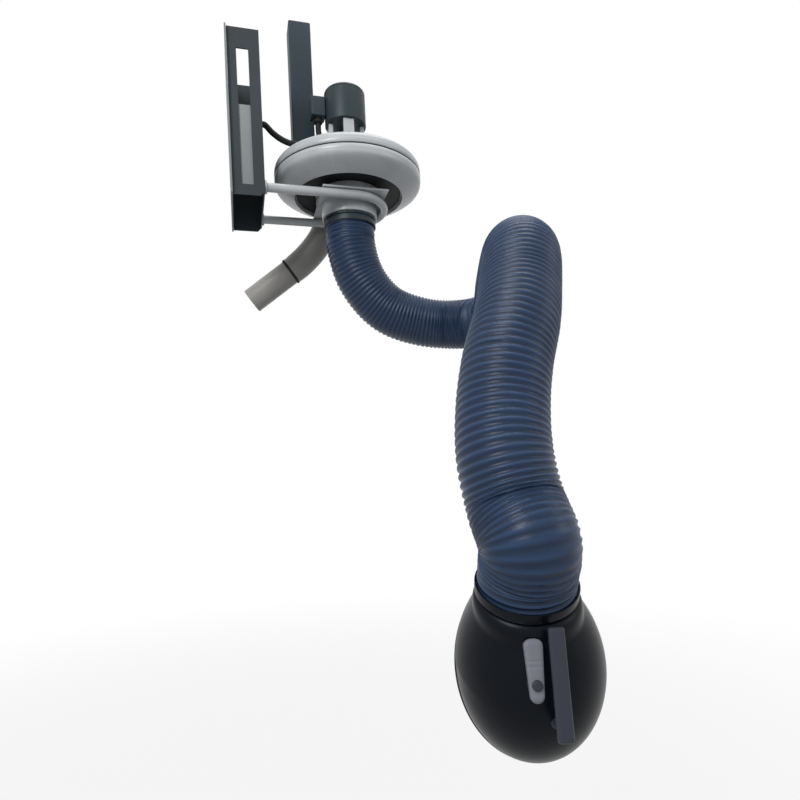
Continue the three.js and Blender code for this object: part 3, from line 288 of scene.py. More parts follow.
def softened(corners, radius, steps=4):
    """Closed profile with rounded corners: each corner becomes a parabola between points set back along its
    sides by the radius, or by 0.45 of a side that is short."""
    corners = np.array(corners, float)
    before = np.roll(corners, 1, axis=0) - corners
    after = np.roll(corners, -1, axis=0) - corners
    long_before = np.linalg.norm(before, axis=1, keepdims=True)
    long_after = np.linalg.norm(after, axis=1, keepdims=True)
    first = corners + before / long_before * np.minimum(radius, 0.45 * long_before)
    last = corners + after / long_after * np.minimum(radius, 0.45 * long_after)
    t = np.linspace(0, 1, steps + 1)[None, :, None]
    bend = (1 - t) ** 2 * first[:, None] + 2 * t * (1 - t) * corners[:, None] + t ** 2 * last[:, None]
    return bend.reshape(-1, 2)


def ring_section(inner, outer, low, high, edge):
    """Profile of a plain ring: a rectangle between two radii and two heights, with its edges rounded."""
    return softened([(inner, low), (outer, low), (outer, high), (inner, high)], edge)


def turned(profile, sides):
    """Surface of revolution about Z: (radius × cos, radius × sin, height) at each profile point and angle."""
    angle = np.linspace(0, 2 * np.pi, sides, endpoint=False)
    profile = np.array(profile)
    radius, height = profile[:, :1], profile[:, 1:]
    return np.stack([radius * np.cos(angle), radius * np.sin(angle), height + 0 * angle], axis=-1)


def frames(path, lean):
    """Headings along a path, with a side direction that is the lean direction laid square to each heading."""
    way = np.gradient(path, axis=0)
    way /= np.linalg.norm(way, axis=1, keepdims=True)
    side = np.array(lean, float) - (way @ np.array(lean, float))[:, None] * way
    side /= np.linalg.norm(side, axis=1, keepdims=True)
    return way, side, np.cross(way, side)


def tube(path, radius, lean, sides):
    """Round tube on a path: middle + radius × (cos × side + sin × up), with one radius or one per ring."""
    way, side, up = frames(path, lean)
    angle = np.linspace(0, 2 * np.pi, sides, endpoint=False)
    radius = np.broadcast_to(np.asarray(radius, float).reshape(-1, 1), (len(path), 1))[..., None]
    turn = np.cos(angle)[None, :, None] * side[:, None] + np.sin(angle)[None, :, None] * up[:, None]
    return path[:, None] + radius * turn


def pipe(path, outer, inner, lean, sides):
    """Open tube with a wall: the outside rings run on, and the inside rings run back."""
    return np.concatenate([tube(path, outer, lean, sides), tube(path, inner, lean, sides)[::-1]])


def moved(points, place, axis=(0, 0, 1), lean=(1, 0, 0)):
    """Carries points so that local Z lies on an axis, local X near the lean and the origin at a place."""
    z = np.array(axis, float) / np.linalg.norm(axis)
    x = np.array(lean, float) - np.dot(lean, z) * z
    x /= np.linalg.norm(x)
    return points @ np.array([x, np.cross(z, x), z]) + np.array(place, float)


# Enamel is sprayed and baked: smooth and half glossy, so it shows the lamps softly.
grey_enamel = grained("grey_enamel", ENAMEL_GREY, 0.26, 2.2, 0.4)
dress(grey_enamel, "fan_seat_plate")
leg = np.linspace(LEG_START, FAN_X, 24)
half_turn = np.linspace(-np.pi / 2, np.pi / 2, 49)[1:-1]
hairpin_path = np.concatenate([
    np.stack([leg, 0 * leg - LEG_Y, 0 * leg + BRACKET_Z], axis=-1),
    np.stack([FAN_X + LEG_Y * np.cos(half_turn), LEG_Y * np.sin(half_turn), 0 * half_turn + BRACKET_Z],
             axis=-1),
    np.stack([leg[::-1], 0 * leg + LEG_Y, 0 * leg + BRACKET_Z], axis=-1)])
hairpin = pipe(hairpin_path, TUBE_RADIUS, TUBE_RADIUS - TUBE_WALL, (0, 0, 1), 40)
put("bracket_tube", [patch(hairpin, loop=True)], grey_enamel, "base", "grey_paint", "bracket_hairpin")
flange_profile = ring_section(PINHOLE, FLANGE_RADIUS, 0, FLANGE_THICK, FLANGE_EDGE)
for flange_name, flange_side in (("bracket_flange_near", -1), ("bracket_flange_far", 1)):
    flange_place = (FLANGE_X, flange_side * LEG_Y, BRACKET_Z)
    flange = moved(turned(flange_profile, 64), flange_place, (1, 0, 0), (0, 0, 1))
    put(flange_name + "_turned", [patch(flange, loop=True)], grey_enamel, "base", "grey_paint", flange_name)

# The fan housing is two spun steel dishes, enamelled grey and clamped at a seam with a black gasket. Each has
# a stiff upright lip at the seam. The lower one has a groove above its seat, lined with a thin black ring
# that is painted shade for the shadowed gap over the seat, and the inlet collar hangs from it.
RUBBER_BLACK = "1d1f21"
FAN_RADIUS = 235 * MM
FAN_WALL = 3 * MM
LIP = 14 * MM
LIP_BEVEL = 1.2 * MM
LIP_SEAT = 6 * MM
LIP_ROUND = 5 * MM
SHOULDER = 12 * MM
DISH_FLATNESS = 0.55
LOWER_RIM_Z, LOWER_END_Z, LOWER_INNER = -96.8 * MM, -169.4 * MM, 101.3 * MM
UPPER_RIM_Z, UPPER_END_Z, UPPER_INNER = -93.2 * MM, -15.2 * MM, 92 * MM
INLET_HOLE = 89.9 * MM
SHAFT_HOLE = 16 * MM
GROOVE_OUTER, GROOVE_INNER, GROOVE_Z = 170 * MM, 106 * MM, -141 * MM
# Size of the thin black ring that is painted shade on the groove's floor.
SHADE_RING_OUTER, SHADE_RING_INNER, SHADE_RING_LOW, SHADE_RING_HIGH = 168 * MM, 108 * MM, -144 * MM, -141.2 * MM
GASKET_INNER, GASKET_OUTER, GASKET_LOW, GASKET_HIGH = 229.5 * MM, 234 * MM, -96.5 * MM, -93.5 * MM
COLLAR_BORE, COLLAR_OUTER, COLLAR_LEDGE, COLLAR_FLANGE = 84 * MM, 89 * MM, 74 * MM, 99 * MM
COLLAR_FOOT, COLLAR_SEAT, COLLAR_SHEET = -222 * MM, -166.1 * MM, 5 * MM
FAN_MIDDLE = (FAN_X, 0, 0)


def dish(inner_radius, rim_z, end_z):
    """Half housing, as its outer and inner lines: an upright lip, then for t from 0 to 1
    radius = inner + (outer − inner)(1 − flatness × t)cos(tπ/2) + shoulder × (1 − t) and
    height = lip + (depth − lip)sin(tπ/2). The radius is rounded off to the lip by a soft minimum,
    outer − r × ln(1 + e^((outer − radius)/r)), and the inside lies one wall further in."""
    way = np.sign(end_z - rim_z)
    depth = abs(end_z - rim_z)
    t = np.linspace(0, 1, 40)
    radius = inner_radius + (FAN_RADIUS - inner_radius) * (1 - DISH_FLATNESS * t) * np.cos(t * np.pi / 2)
    radius = radius + SHOULDER * (1 - t)
    radius = FAN_RADIUS - LIP_ROUND * np.log1p(np.exp((FAN_RADIUS - radius) / LIP_ROUND))
    height = LIP + (depth - LIP) * np.sin(t * np.pi / 2)
    lip = np.array([[FAN_RADIUS - LIP_BEVEL, 0], [FAN_RADIUS, LIP_BEVEL], [FAN_RADIUS, LIP - 1 * MM]])
    outside = np.concatenate([lip, np.stack([radius, height], axis=-1)])
    inside = np.stack([np.maximum(radius - FAN_WALL, inner_radius), np.maximum(height - FAN_WALL, LIP)],
                      axis=-1)
    inside = np.concatenate([[[FAN_RADIUS - LIP_SEAT, 0]], inside])
    return [np.stack([line[:, 0], rim_z + way * line[:, 1]], axis=-1) for line in (outside, inside)]


lower_out, lower_in = dish(LOWER_INNER, LOWER_RIM_Z, LOWER_END_Z)
upper_out, upper_in = dish(UPPER_INNER, UPPER_RIM_Z, UPPER_END_Z)
# The groove takes the place of the outer line inside its radius, and the inner line rises to stay above it.
groove_line = np.array([[GROOVE_OUTER, GROOVE_Z], [GROOVE_INNER, GROOVE_Z], [GROOVE_INNER, LOWER_END_Z]])
outside_groove = lower_out[:, 0] > GROOVE_OUTER + 1 * MM
lower_out = np.concatenate([lower_out[outside_groove], groove_line, lower_out[-1:]])
over_groove = lower_in[:, 0] < GROOVE_OUTER + 4 * MM
lower_in[:, 1] = np.where(over_groove, np.maximum(lower_in[:, 1], GROOVE_Z + FAN_WALL), lower_in[:, 1])
lower_hole = np.array([[INLET_HOLE, LOWER_END_Z], [INLET_HOLE, LOWER_END_Z + FAN_WALL]])
upper_hole = np.array([[SHAFT_HOLE, UPPER_END_Z], [SHAFT_HOLE, UPPER_END_Z - FAN_WALL]])
for dish_name, out_line, hole, in_line, node in (
        ("fan_dish_lower", lower_out, lower_hole, lower_in, "fan_lower_housing"),
        ("fan_dish_upper", upper_out, upper_hole, upper_in, "fan_upper_housing")):
    dish_points = moved(turned(np.concatenate([out_line, hole, in_line[::-1]]), 144), FAN_MIDDLE)
    put(dish_name, [patch(dish_points, loop=True)], grey_enamel, "base", "grey_paint", node, sharp=50.0)
# Moulded rubber: black, with a dull even surface.
black_rubber = grained("black_rubber", RUBBER_BLACK, 0.62, 3.0)
gasket = ring_section(GASKET_INNER, GASKET_OUTER, GASKET_LOW, GASKET_HIGH, 1 * MM)
put("seam_gasket_ring", [patch(moved(turned(gasket, 144), FAN_MIDDLE), loop=True)], black_rubber, "base",
    "black_rubber", "seam_gasket")
# Painted shade: a thin black ring on the groove's floor stands for the shadow in the gap above the seat
# plate.
groove_shade_ring = ring_section(SHADE_RING_INNER, SHADE_RING_OUTER, SHADE_RING_LOW, SHADE_RING_HIGH, 0.8 * MM)
put("seat_groove_shade_ring", [patch(moved(turned(groove_shade_ring, 120), FAN_MIDDLE), loop=True)], black_rubber, "base",
    "black_rubber")
collar = softened([
    (COLLAR_BORE, COLLAR_FOOT + COLLAR_SHEET), (COLLAR_LEDGE, COLLAR_FOOT + COLLAR_SHEET),
    (COLLAR_LEDGE, COLLAR_FOOT), (COLLAR_OUTER, COLLAR_FOOT), (COLLAR_OUTER, COLLAR_SEAT),
    (COLLAR_FLANGE, COLLAR_SEAT), (COLLAR_FLANGE, COLLAR_SEAT + COLLAR_SHEET),
    (COLLAR_BORE, COLLAR_SEAT + COLLAR_SHEET)], 2 * MM)
put("inlet_collar_spun", [patch(moved(turned(collar, 120), FAN_MIDDLE), loop=True)], grey_enamel, "base",
    "grey_paint", "inlet_collar")

# The motor stands on four cast pillars above the fan. Its can and end cap are drawn steel, painted charcoal,
# with the cap's edge rounded, and a terminal box on the wall side takes the cable through a rubber gland.
MOTOR_CHARCOAL = "2f3a3f"
CAN_RADIUS, CAN_WALL, CAN_HOLE = 66 * MM, 4 * MM, 8.6 * MM
CAN_FOOT, CAN_TOP = 81.4 * MM, 181.4 * MM
CAP_FOOT, CAP_INSET, CAP_ROUND = 181.7 * MM, 2 * MM, 10 * MM
DIMPLE_OUTER, DIMPLE_INNER, DIMPLE_DEEP = 12 * MM, 10 * MM, 0.8 * MM
PILLAR_HALF, PILLAR_OUT, PILLAR_Z, PILLAR_EDGE = (7 * MM, 17 * MM, 48 * MM), 50 * MM, 33.1 * MM, 2.5 * MM
BOX_HALF, BOX_PLACE, BOX_EDGE = (23 * MM, 22 * MM, 31 * MM), (280.7 * MM, 0, 131.4 * MM), 4 * MM
GLAND_BORE, GLAND_NOSE, GLAND_BODY, GLAND_NECK = 9.3 * MM, 13 * MM, 15 * MM, 12.6 * MM
GLAND_LOW, GLAND_HIGH = 84.1 * MM, 100.1 * MM
# Painted steel: a low satin shine.
motor_paint = grained("charcoal_motor_paint", MOTOR_CHARCOAL, 0.42, 1.8)
can_inside = CAN_RADIUS - CAN_WALL
can_floor = CAN_FOOT + CAN_WALL
can = softened([(CAN_HOLE, CAN_FOOT), (CAN_RADIUS, CAN_FOOT), (CAN_RADIUS, CAN_TOP), (can_inside, CAN_TOP),
                (can_inside, can_floor), (CAN_HOLE, can_floor)], 1.6 * MM)
put("motor_can_drawn", [patch(moved(turned(can, 96), FAN_MIDDLE), loop=True)], motor_paint, "base",
    "motor_black", "motor_can")
cap_turn = np.linspace(0, np.pi / 2, 12)
cap_top = CAP_FOOT + CAP_ROUND
cap_edge = np.stack([CAN_RADIUS - CAP_ROUND + CAP_ROUND * np.cos(cap_turn),
                     CAP_FOOT + CAP_ROUND * np.sin(cap_turn)], axis=-1)
cap_line = np.concatenate([[(PINHOLE, CAP_FOOT), (CAN_RADIUS - CAP_INSET, CAP_FOOT)], cap_edge, [
    (DIMPLE_OUTER, cap_top), (DIMPLE_INNER, cap_top - DIMPLE_DEEP), (PINHOLE, cap_top - DIMPLE_DEEP)]])
put("motor_cap_drawn", [patch(moved(turned(cap_line, 96), FAN_MIDDLE), loop=True)], motor_paint, "base",
    "motor_black", "motor_end_cap")


def block(half, radius, steps=4):
    """Box with round edges: each corner carries an eighth of a ball,
    sign × (half size − radius) + radius × ball."""
    quarter = np.linspace(0, np.pi / 2, steps + 1)
    turn = np.concatenate([quarter + step * np.pi / 2 for step in range(4)])
    tilt = np.concatenate([quarter - np.pi / 2, quarter])
    ball = np.stack([np.outer(np.cos(tilt), np.cos(turn)), np.outer(np.cos(tilt), np.sin(turn)),
                     np.outer(np.sin(tilt), np.ones_like(turn))], axis=-1)
    signs = np.stack(np.broadcast_arrays(np.repeat([1, -1, -1, 1], steps + 1)[None],
                                         np.repeat([1, 1, -1, -1], steps + 1)[None],
                                         np.repeat([-1, 1], steps + 1)[:, None]), axis=-1)
    return signs * (np.array(half) - radius) + radius * ball


for pillar_turn, pillar_name in enumerate(("right", "back", "left", "near")):
    out = np.array([math.cos(pillar_turn * math.pi / 2), math.sin(pillar_turn * math.pi / 2), 0.0])
    pillar_place = np.array(FAN_MIDDLE) + out * PILLAR_OUT + np.array((0, 0, PILLAR_Z))
    pillar = moved(block(PILLAR_HALF, PILLAR_EDGE), pillar_place, (0, 0, 1), out)
    put("pillar_" + pillar_name, [patch(pillar, caps=True)], grey_enamel, "base", "grey_paint",
        "motor_pillar_" + pillar_name)
put("terminal_box_moulded", [patch(moved(block(BOX_HALF, BOX_EDGE), BOX_PLACE), caps=True)], motor_paint,
    "base", "motor_black", "terminal_box")
# The gland from its nose upwards: a taper, a plain body, a groove for the spanner and a collar under the box.
gland = softened([
    (GLAND_BORE, GLAND_LOW), (GLAND_NOSE, GLAND_LOW), (GLAND_BODY, 88 * MM), (GLAND_BODY, 93 * MM),
    (GLAND_NECK, 94 * MM), (GLAND_NECK, 96.5 * MM), (GLAND_BODY, 97 * MM), (GLAND_BODY, GLAND_HIGH),
    (GLAND_BORE, GLAND_HIGH)], 0.8 * MM, 2)
put("cable_gland_moulded", [patch(moved(turned(gland, 48), (BOX_PLACE[0], 0, 0)), loop=True)], black_rubber,
    "base", "black_rubber", "cable_gland")

# The motor's lead is a stiff cable in a black rubber sheath. It leaves the channel level, sags,
# and rises into the gland under the terminal box.
CABLE_RADIUS = 9 * MM
CABLE_STEP = 4 * MM
CABLE_PLACES = np.array([
    (97.9, -40, 40), (101.9, -40, 40), (110, -40, 39), (132.1, -38, 18.2), (160.1, -34, 2.2),
    (191.9, -24, -2), (235.8, -10, 8.1), (280.7, 0, 39.8), (280.7, 0, 61.8), (280.7, 0, 83.8)]) * MM


def smooth_route(corners, spacing):
    """Centripetal Catmull-Rom line through the corners, in even steps of about the given spacing.
    Each stretch is a Hermite cubic whose slopes weigh the neighbours by the root of their distances."""
    corners = np.array(corners, float)
    ends = np.concatenate([[2 * corners[0] - corners[1]], corners, [2 * corners[-1] - corners[-2]]])
    knot = np.sqrt(np.linalg.norm(np.diff(ends, axis=0), axis=1))[:, None]
    p0, p1, p2, p3 = ends[:-3], ends[1:-2], ends[2:-1], ends[3:]
    k0, k1, k2 = knot[:-2], knot[1:-1], knot[2:]
    slope1 = ((p1 - p0) / k0 - (p2 - p0) / (k0 + k1) + (p2 - p1) / k1) * k1
    slope2 = ((p2 - p1) / k1 - (p3 - p1) / (k1 + k2) + (p3 - p2) / k2) * k1
    t = np.linspace(0, 1, 200, endpoint=False)[None, :, None]
    line = ((2 * t ** 3 - 3 * t ** 2 + 1) * p1[:, None] + (t ** 3 - 2 * t ** 2 + t) * slope1[:, None]
            + (3 * t ** 2 - 2 * t ** 3) * p2[:, None] + (t ** 3 - t ** 2) * slope2[:, None]).reshape(-1, 3)
    line = np.concatenate([line, corners[-1:]])
    length = np.concatenate([[0], np.cumsum(np.linalg.norm(np.diff(line, axis=0), axis=1))])
    even = np.linspace(0, length[-1], int(length[-1] / spacing) + 1)
    return np.stack([np.interp(even, length, line[:, axis]) for axis in range(3)], axis=-1), even


cable_path, cable_length = smooth_route(CABLE_PLACES, CABLE_STEP)
sheath = tube(cable_path, CABLE_RADIUS, (0.1, 1, 0.05), 32)
lead = put("motor_lead", [patch(sheath, caps=True)], black_rubber, "base", "black_rubber", "motor_cable")

# The support post is a square steel tube in dark blue-grey paint. It stands on a welded foot plate
# on the fan's upper dish, behind the motor.
POST_BLUE_GREY = "27353d"
POST_HALF, POST_PLACE, POST_EDGE = (36 * MM, 36 * MM, 231.8 * MM), (242 * MM, 96 * MM, 223.2 * MM), 5 * MM
FOOT_HALF, FOOT_PLACE, FOOT_EDGE = (69 * MM, 39 * MM, 3 * MM), (275 * MM, 93 * MM, -11.9 * MM), 1.5 * MM
# Brushed or sprayed paint on steel: nearly matt.
post_coat = grained("blue_grey_post_paint", POST_BLUE_GREY, 0.5, 1.8)
post = moved(block(POST_HALF, POST_EDGE), POST_PLACE)
put("post_tube", [patch(post, caps=True)], post_coat, "base", "post_paint", "support_post")
foot = moved(block(FOOT_HALF, FOOT_EDGE), FOOT_PLACE)
put("post_foot_plate", [patch(foot, caps=True)], post_coat, "base", "post_paint", "post_foot")

# The exhaust is a moulded grey plastic elbow from the lower dish, swept down and back to the wall,
# with a black joint ring and a plain pipe end pushed together behind it.
OUTLET_GREY = "908f8c"
OUTLET_ROOT = np.array((340, 178, -112)) * MM
OUTLET_FALL = np.array((-22, 0, -122)) * MM
OUTLET_SWEEP = np.array((-120, 37, -85)) * MM
ELBOW_RADIUS, ELBOW_BORE, ELBOW_TAPER = 46 * MM, 43 * MM, 1.6 * MM
ELBOW_SHOWS_FROM, ELBOW_TAPERS_FROM = 0.16, 0.9
RING_INNER, RING_OUTER, RING_LONG, RING_GAP = 39 * MM, 46 * MM, 8 * MM, 0.3 * MM
PIPE_BORE, PIPE_RADIUS, PIPE_LONG, PIPE_GAP = 39 * MM, 42 * MM, 168 * MM, 8.6 * MM
# Moulded plastic: smooth, with a soft shine.
outlet_plastic = grained("grey_moulded_plastic", OUTLET_GREY, 0.38, 3.0)
outlet_bend = OUTLET_ROOT + OUTLET_FALL
outlet_end = outlet_bend + OUTLET_SWEEP
outlet_way = OUTLET_SWEEP / np.linalg.norm(OUTLET_SWEEP)
along = np.linspace(ELBOW_SHOWS_FROM, 1, 60)[:, None]
elbow_path = (1 - along) ** 2 * OUTLET_ROOT + 2 * along * (1 - along) * outlet_bend + along ** 2 * outlet_end
taper_share = np.clip((along[:, 0] - ELBOW_TAPERS_FROM) / (1 - ELBOW_TAPERS_FROM), 0, 1)
elbow = pipe(elbow_path, ELBOW_RADIUS - ELBOW_TAPER * taper_share, ELBOW_BORE, (0, 1, 0), 72)
put("outlet_elbow_moulded", [patch(elbow, loop=True)], outlet_plastic, "base", "outlet_plastic",
    "outlet_elbow")
joint_ring = moved(turned(ring_section(RING_INNER, RING_OUTER, 0, RING_LONG, 1.5 * MM), 72),
                   outlet_end + outlet_way * RING_GAP, outlet_way, (0, 0, 1))
put("outlet_joint_seal", [patch(joint_ring, loop=True)], black_rubber, "base", "black_rubber",
    "outlet_joint_ring")
outlet_pipe = moved(turned(ring_section(PIPE_BORE, PIPE_RADIUS, 0, PIPE_LONG, 0.8 * MM), 72),
                    outlet_end + outlet_way * PIPE_GAP, outlet_way, (0, 0, 1))
put("outlet_pipe_drawn", [patch(outlet_pipe, loop=True)], outlet_plastic, "base", "outlet_plastic",
    "outlet_pipe")

# The swivel under the inlet is a turned black spigot, and the arm inside the hose is of welded tube with cast
# ends, zinc pins and brass friction washers. Little of it shows, so these solids keep their own shape.
ZINC = "b4b8bc"
CAST_ALUMINIUM = "8f959b"
BRASS = "b08d4a"
# Zinc plate shines softly, cast aluminium is duller and finely pitted, and the brass is worn smooth.
bearing_steel = grained("zinc_plated_steel", ZINC, 0.32, 1.2, metallic=0.9)
cast_alloy = grained("cast_aluminium", CAST_ALUMINIUM, 0.42, 0.9, metallic=0.8)
friction_brass = grained("friction_brass", BRASS, 0.34, 1.0, metallic=0.9)
dress(motor_paint, "inner_boom", "outer_boom", "forearm_link", "neck_sleeve", "swivel_spigot")
dress(bearing_steel, "knuckle_pin", "elbow_pin", "wrist_pin", "motor_shaft", "lower_bearing", "upper_bearing",
      "damper_spindle", "damper_blade")
dress(friction_brass, "knuckle_washer_upper", "knuckle_washer_lower", "elbow_washer_upper",
      "elbow_washer_lower", "wrist_washer_upper", "wrist_washer_lower")
dress(cast_alloy, "swivel_spider", "hood_spider", "stator", "rotor_core", "impeller")

# The hose is coated navy cloth over a spiral wire, in three lengths that follow the arm inside it. The wire
# lifts a ridge on each turn, the cloth sinks between the turns, and the coating gives it a soft shine.
# The darker navy is painted shade in the valleys between the wire's turns. The paler navy is painted light on
# the ridges and also comes in random patches.
HOSE_NAVY, HOSE_PALER_AND_LIT_NAVY = "16263d", "293f5e"
HOSE_RIDGE, HOSE_VALLEY, HOSE_BORE, HOSE_PITCH = 80 * MM, 76.6 * MM, 72.5 * MM, 16 * MM
HOSE_SIDES = 80
HOSE_STEP = 2 * MM
RIDGE_POWER = 1.8
SLACK = 0.4 * MM
SLACK_WAVES = ((5, 21 * MM), (9, -34 * MM))
FIRST_CUT, SECOND_CUT = 1042.1 * MM, 1713.5 * MM
BEND_SMOOTHING = 31


def coated_cloth(name, code, paler_and_lit_code):
    """Coated polyester cloth: threads 0.6 mm apart, drawn 2.4 mm wide to show, and creases 11 mm wide.
    Its tone is painted shade and light: dark in the valleys, pale on the ridges, and paler in patches 60 mm
    wide."""
    patch_mm, thread_mm, crease_mm = 60, 2.4, 11
    material = bpy.data.materials.new(name)
    material.use_nodes = True
    tree = material.node_tree
    tree.nodes.clear()
    place = add(tree, "TexCoord", {}, {})
    ridge = add(tree, "Attribute", {"attribute_name": "ridge"}, {})
    cloud = add(tree, "TexNoise", {"Scale": 1 / (patch_mm * MM), "Detail": 5.0},
                {"Vector": place.outputs["Object"]})
    thread = add(tree, "TexNoise", {"Scale": 1 / (thread_mm * MM), "Detail": 3.0},
                 {"Vector": place.outputs["Object"]})
    crease = add(tree, "TexNoise", {"Scale": 1 / (crease_mm * MM), "Detail": 4.0, "Distortion": 0.8},
                 {"Vector": place.outputs["Object"]})
    patchy = add(tree, "MapRange", {"To Min": -0.3, "To Max": 0.3}, {"Value": cloud.outputs[0]})
    # Ridge height plus random patches picks the tone: paler ridges are painted light, and darker valleys are
    # painted shade.
    patchy_and_lit = add(tree, "Math", {"operation": "ADD", "use_clamp": True},
               {0: ridge.outputs["Fac"], 1: patchy.outputs[0]})
    tone = add(tree, "ValToRGB", {}, {0: patchy_and_lit.outputs[0]})
    tone.color_ramp.elements[0].color = linear(code)
    tone.color_ramp.elements[1].color = linear(paler_and_lit_code)
    gloss = add(tree, "MapRange", {"To Min": 0.26, "To Max": 0.5}, {"Value": crease.outputs[0]})
    folds = add(tree, "Bump", {"Strength": 0.35, "Distance": 1.2 * MM}, {"Height": crease.outputs[0]})
    weave = add(tree, "Bump", {"Strength": 0.22, "Distance": 0.4 * MM},
                {"Height": thread.outputs[0], "Normal": folds.outputs[0]})
    shader = add(tree, "BsdfPrincipled", {"Specular IOR Level": 0.24}, {
        "Base Color": tone.outputs[0], "Roughness": gloss.outputs[0], "Normal": weave.outputs[0]})
    add(tree, "OutputMaterial", {}, {"Surface": shader.outputs[0]})
    return material


def between(first, last, shares):
    """Points at a share of the way between two places along each axis."""
    return np.array(first) + np.array(shares) * (np.array(last) - np.array(first))


# The route in millimetres: straight down from the inlet, out to the knuckle, forwards over the crown, down to
# the wrist and straight into the hood. The shares place the points of each bend between its two ends.
hose_top = np.array((370, 0, -228.6))
hose_drop = hose_top - (0, 0, 70)
knuckle = hose_drop + (386, -84, -267)
crown = knuckle + (-234, -784, -148)
wrist = crown + (-110, -170, -398)
hose_end = wrist + (16, 8.5, -140)
hood_axis = np.array((0.122, 0.453, -0.883)) / np.linalg.norm((0.122, 0.453, -0.883))
shoulder_bend = [(0.078, -0.036, 0.405), (0.29, -0.095, 0.757), (0.58, -0.048, 0.914), (0.819, 0.238, 0.969)]
boom_bend = [(-0.094, 0.122, 0.01), (0.034, 0.276, 0.005), (0.282, 0.48, 0.005), (0.521, 0.684, 0.025),
             (0.675, 0.811, 0.14), (0.838, 0.921, 0.44)]
forearm_bend = [(0.33, 0.304, 0.186), (0.678, 0.519, 0.387), (0.909, 0.684, 0.593), (1.04, 0.861, 0.804)]
hose_path, hose_length = smooth_route(np.concatenate([
    [hose_top, hose_top - (0, 0, 35), hose_drop], between(hose_drop, knuckle, shoulder_bend),
    [knuckle], between(knuckle, crown, boom_bend),
    [crown], between(crown, wrist, forearm_bend),
    [wrist], [hose_end - 92 * hood_axis, hose_end - 46 * hood_axis, hose_end]]) * MM, HOSE_STEP)
hose_cloth = coated_cloth("coated_navy_cloth", HOSE_NAVY, HOSE_PALER_AND_LIT_NAVY)
hose_way, hose_side, hose_up = frames(hose_path, (0.55, -0.55, 0.63))
# The cloth can't stretch, so the wire keeps its pitch on the outside of a bend and closes up on the inside:
# turns = sum of steps × (1 + radius ÷ bend radius) ÷ pitch, with the bend averaged over its neighbours.
hose_turning = np.linalg.norm(np.gradient(hose_way, hose_length, axis=0), axis=1)
hose_turning = np.convolve(np.pad(hose_turning, BEND_SMOOTHING // 2, mode="edge"),
                           np.ones(BEND_SMOOTHING) / BEND_SMOOTHING, mode="valid")
wire_turns = np.cumsum(np.gradient(hose_length) * (1 + HOSE_RIDGE * hose_turning)) / HOSE_PITCH


def along_hose(length):
    """Place on the hose's middle line at a length from its top."""
    return [float(np.interp(length, hose_length, hose_path[:, axis])) for axis in range(3)]


def hose_piece(name, start, stop, node):
    """Length of hose: radius = valley + (ridge − slack − valley) × (½ + ½cos(2πp − angle))^1.8, where p
    counts the turns of the wire, with slack ripples between the ridges. A plain bore runs back inside.
    Neighbours share a ring."""
    keep = slice(np.searchsorted(hose_length, start), np.searchsorted(hose_length, stop) + 1)
    angle = np.linspace(0, 2 * np.pi, HOSE_SIDES, endpoint=False)
    length = hose_length[keep][:, None]
    ridge = (0.5 + 0.5 * np.cos(2 * np.pi * wire_turns[keep][:, None] - angle)) ** RIDGE_POWER
    ripple = sum(np.sin(count * angle + length / wave) for count, wave in SLACK_WAVES)
    radius = HOSE_VALLEY + (HOSE_RIDGE - SLACK - HOSE_VALLEY) * ridge + 0.5 * SLACK * ripple * (1 - ridge)
    turn = (np.cos(angle)[None, :, None] * hose_side[keep][:, None]
            + np.sin(angle)[None, :, None] * hose_up[keep][:, None])
    middle = hose_path[keep][:, None]
    outside = middle + radius[..., None] * turn
    inside = (middle + HOSE_BORE * turn)[::-5]
    points = np.concatenate([outside, inside])
    piece = put(name, [patch(points, loop=True)], hose_cloth, None, "hose_fabric", sharp=70.0)
    # The ridge height is kept for the cloth's tone, which paints light on the ridges and shade in the
    # valleys.
    shade = np.concatenate([ridge.ravel(), np.zeros(len(inside) * HOSE_SIDES)])
    piece.data.attributes.new("ridge", "FLOAT", "POINT").data.foreach_set("value", shade.astype(np.float32))
    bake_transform(piece)
    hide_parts(node)


hose_piece("hose_upper_cloth", 0.0, FIRST_CUT,
           "hose_upper")
hose_piece("hose_middle_cloth", FIRST_CUT, SECOND_CUT,
           "hose_middle")
hose_piece("hose_lower_cloth", SECOND_CUT, hose_length[-1],
           "hose_lower")

# Each hose end is held by a flat steel band, drawn tight over the cloth. The upper one is painted like the
# motor, and the lower one is black like the hood below it.
SATIN_BLACK = "090e15"
BAND_INNER, BAND_OUTER, BAND_HALF, BAND_IN = 80.4 * MM, 83.4 * MM, 8 * MM, 12 * MM
BAND_SIGHT = 5 * MM
# Moulded plastic with a satin surface: black, with broad soft lights and a slight wave.
hood_plastic = grained("satin_black_plastic", SATIN_BLACK, 0.3, 6.0, 0.1)
band_line = ring_section(BAND_INNER, BAND_OUTER, -BAND_HALF, BAND_HALF, 0.8 * MM)
for band_name, band_length, band_body, band_coat in (
        ("hose_clamp_top", BAND_IN, "swivel", motor_paint),
        ("hose_clamp_hood", hose_length[-1] - BAND_IN, "hood", hood_plastic)):
    band_place = np.array(along_hose(band_length))
    band_way = np.array(along_hose(band_length + BAND_SIGHT)) - np.array(along_hose(band_length - BAND_SIGHT))
    band = moved(turned(band_line, 96), band_place, band_way)
    put(band_name + "_band", [patch(band, loop=True)], band_coat, band_body, "bearing_steel", band_name)

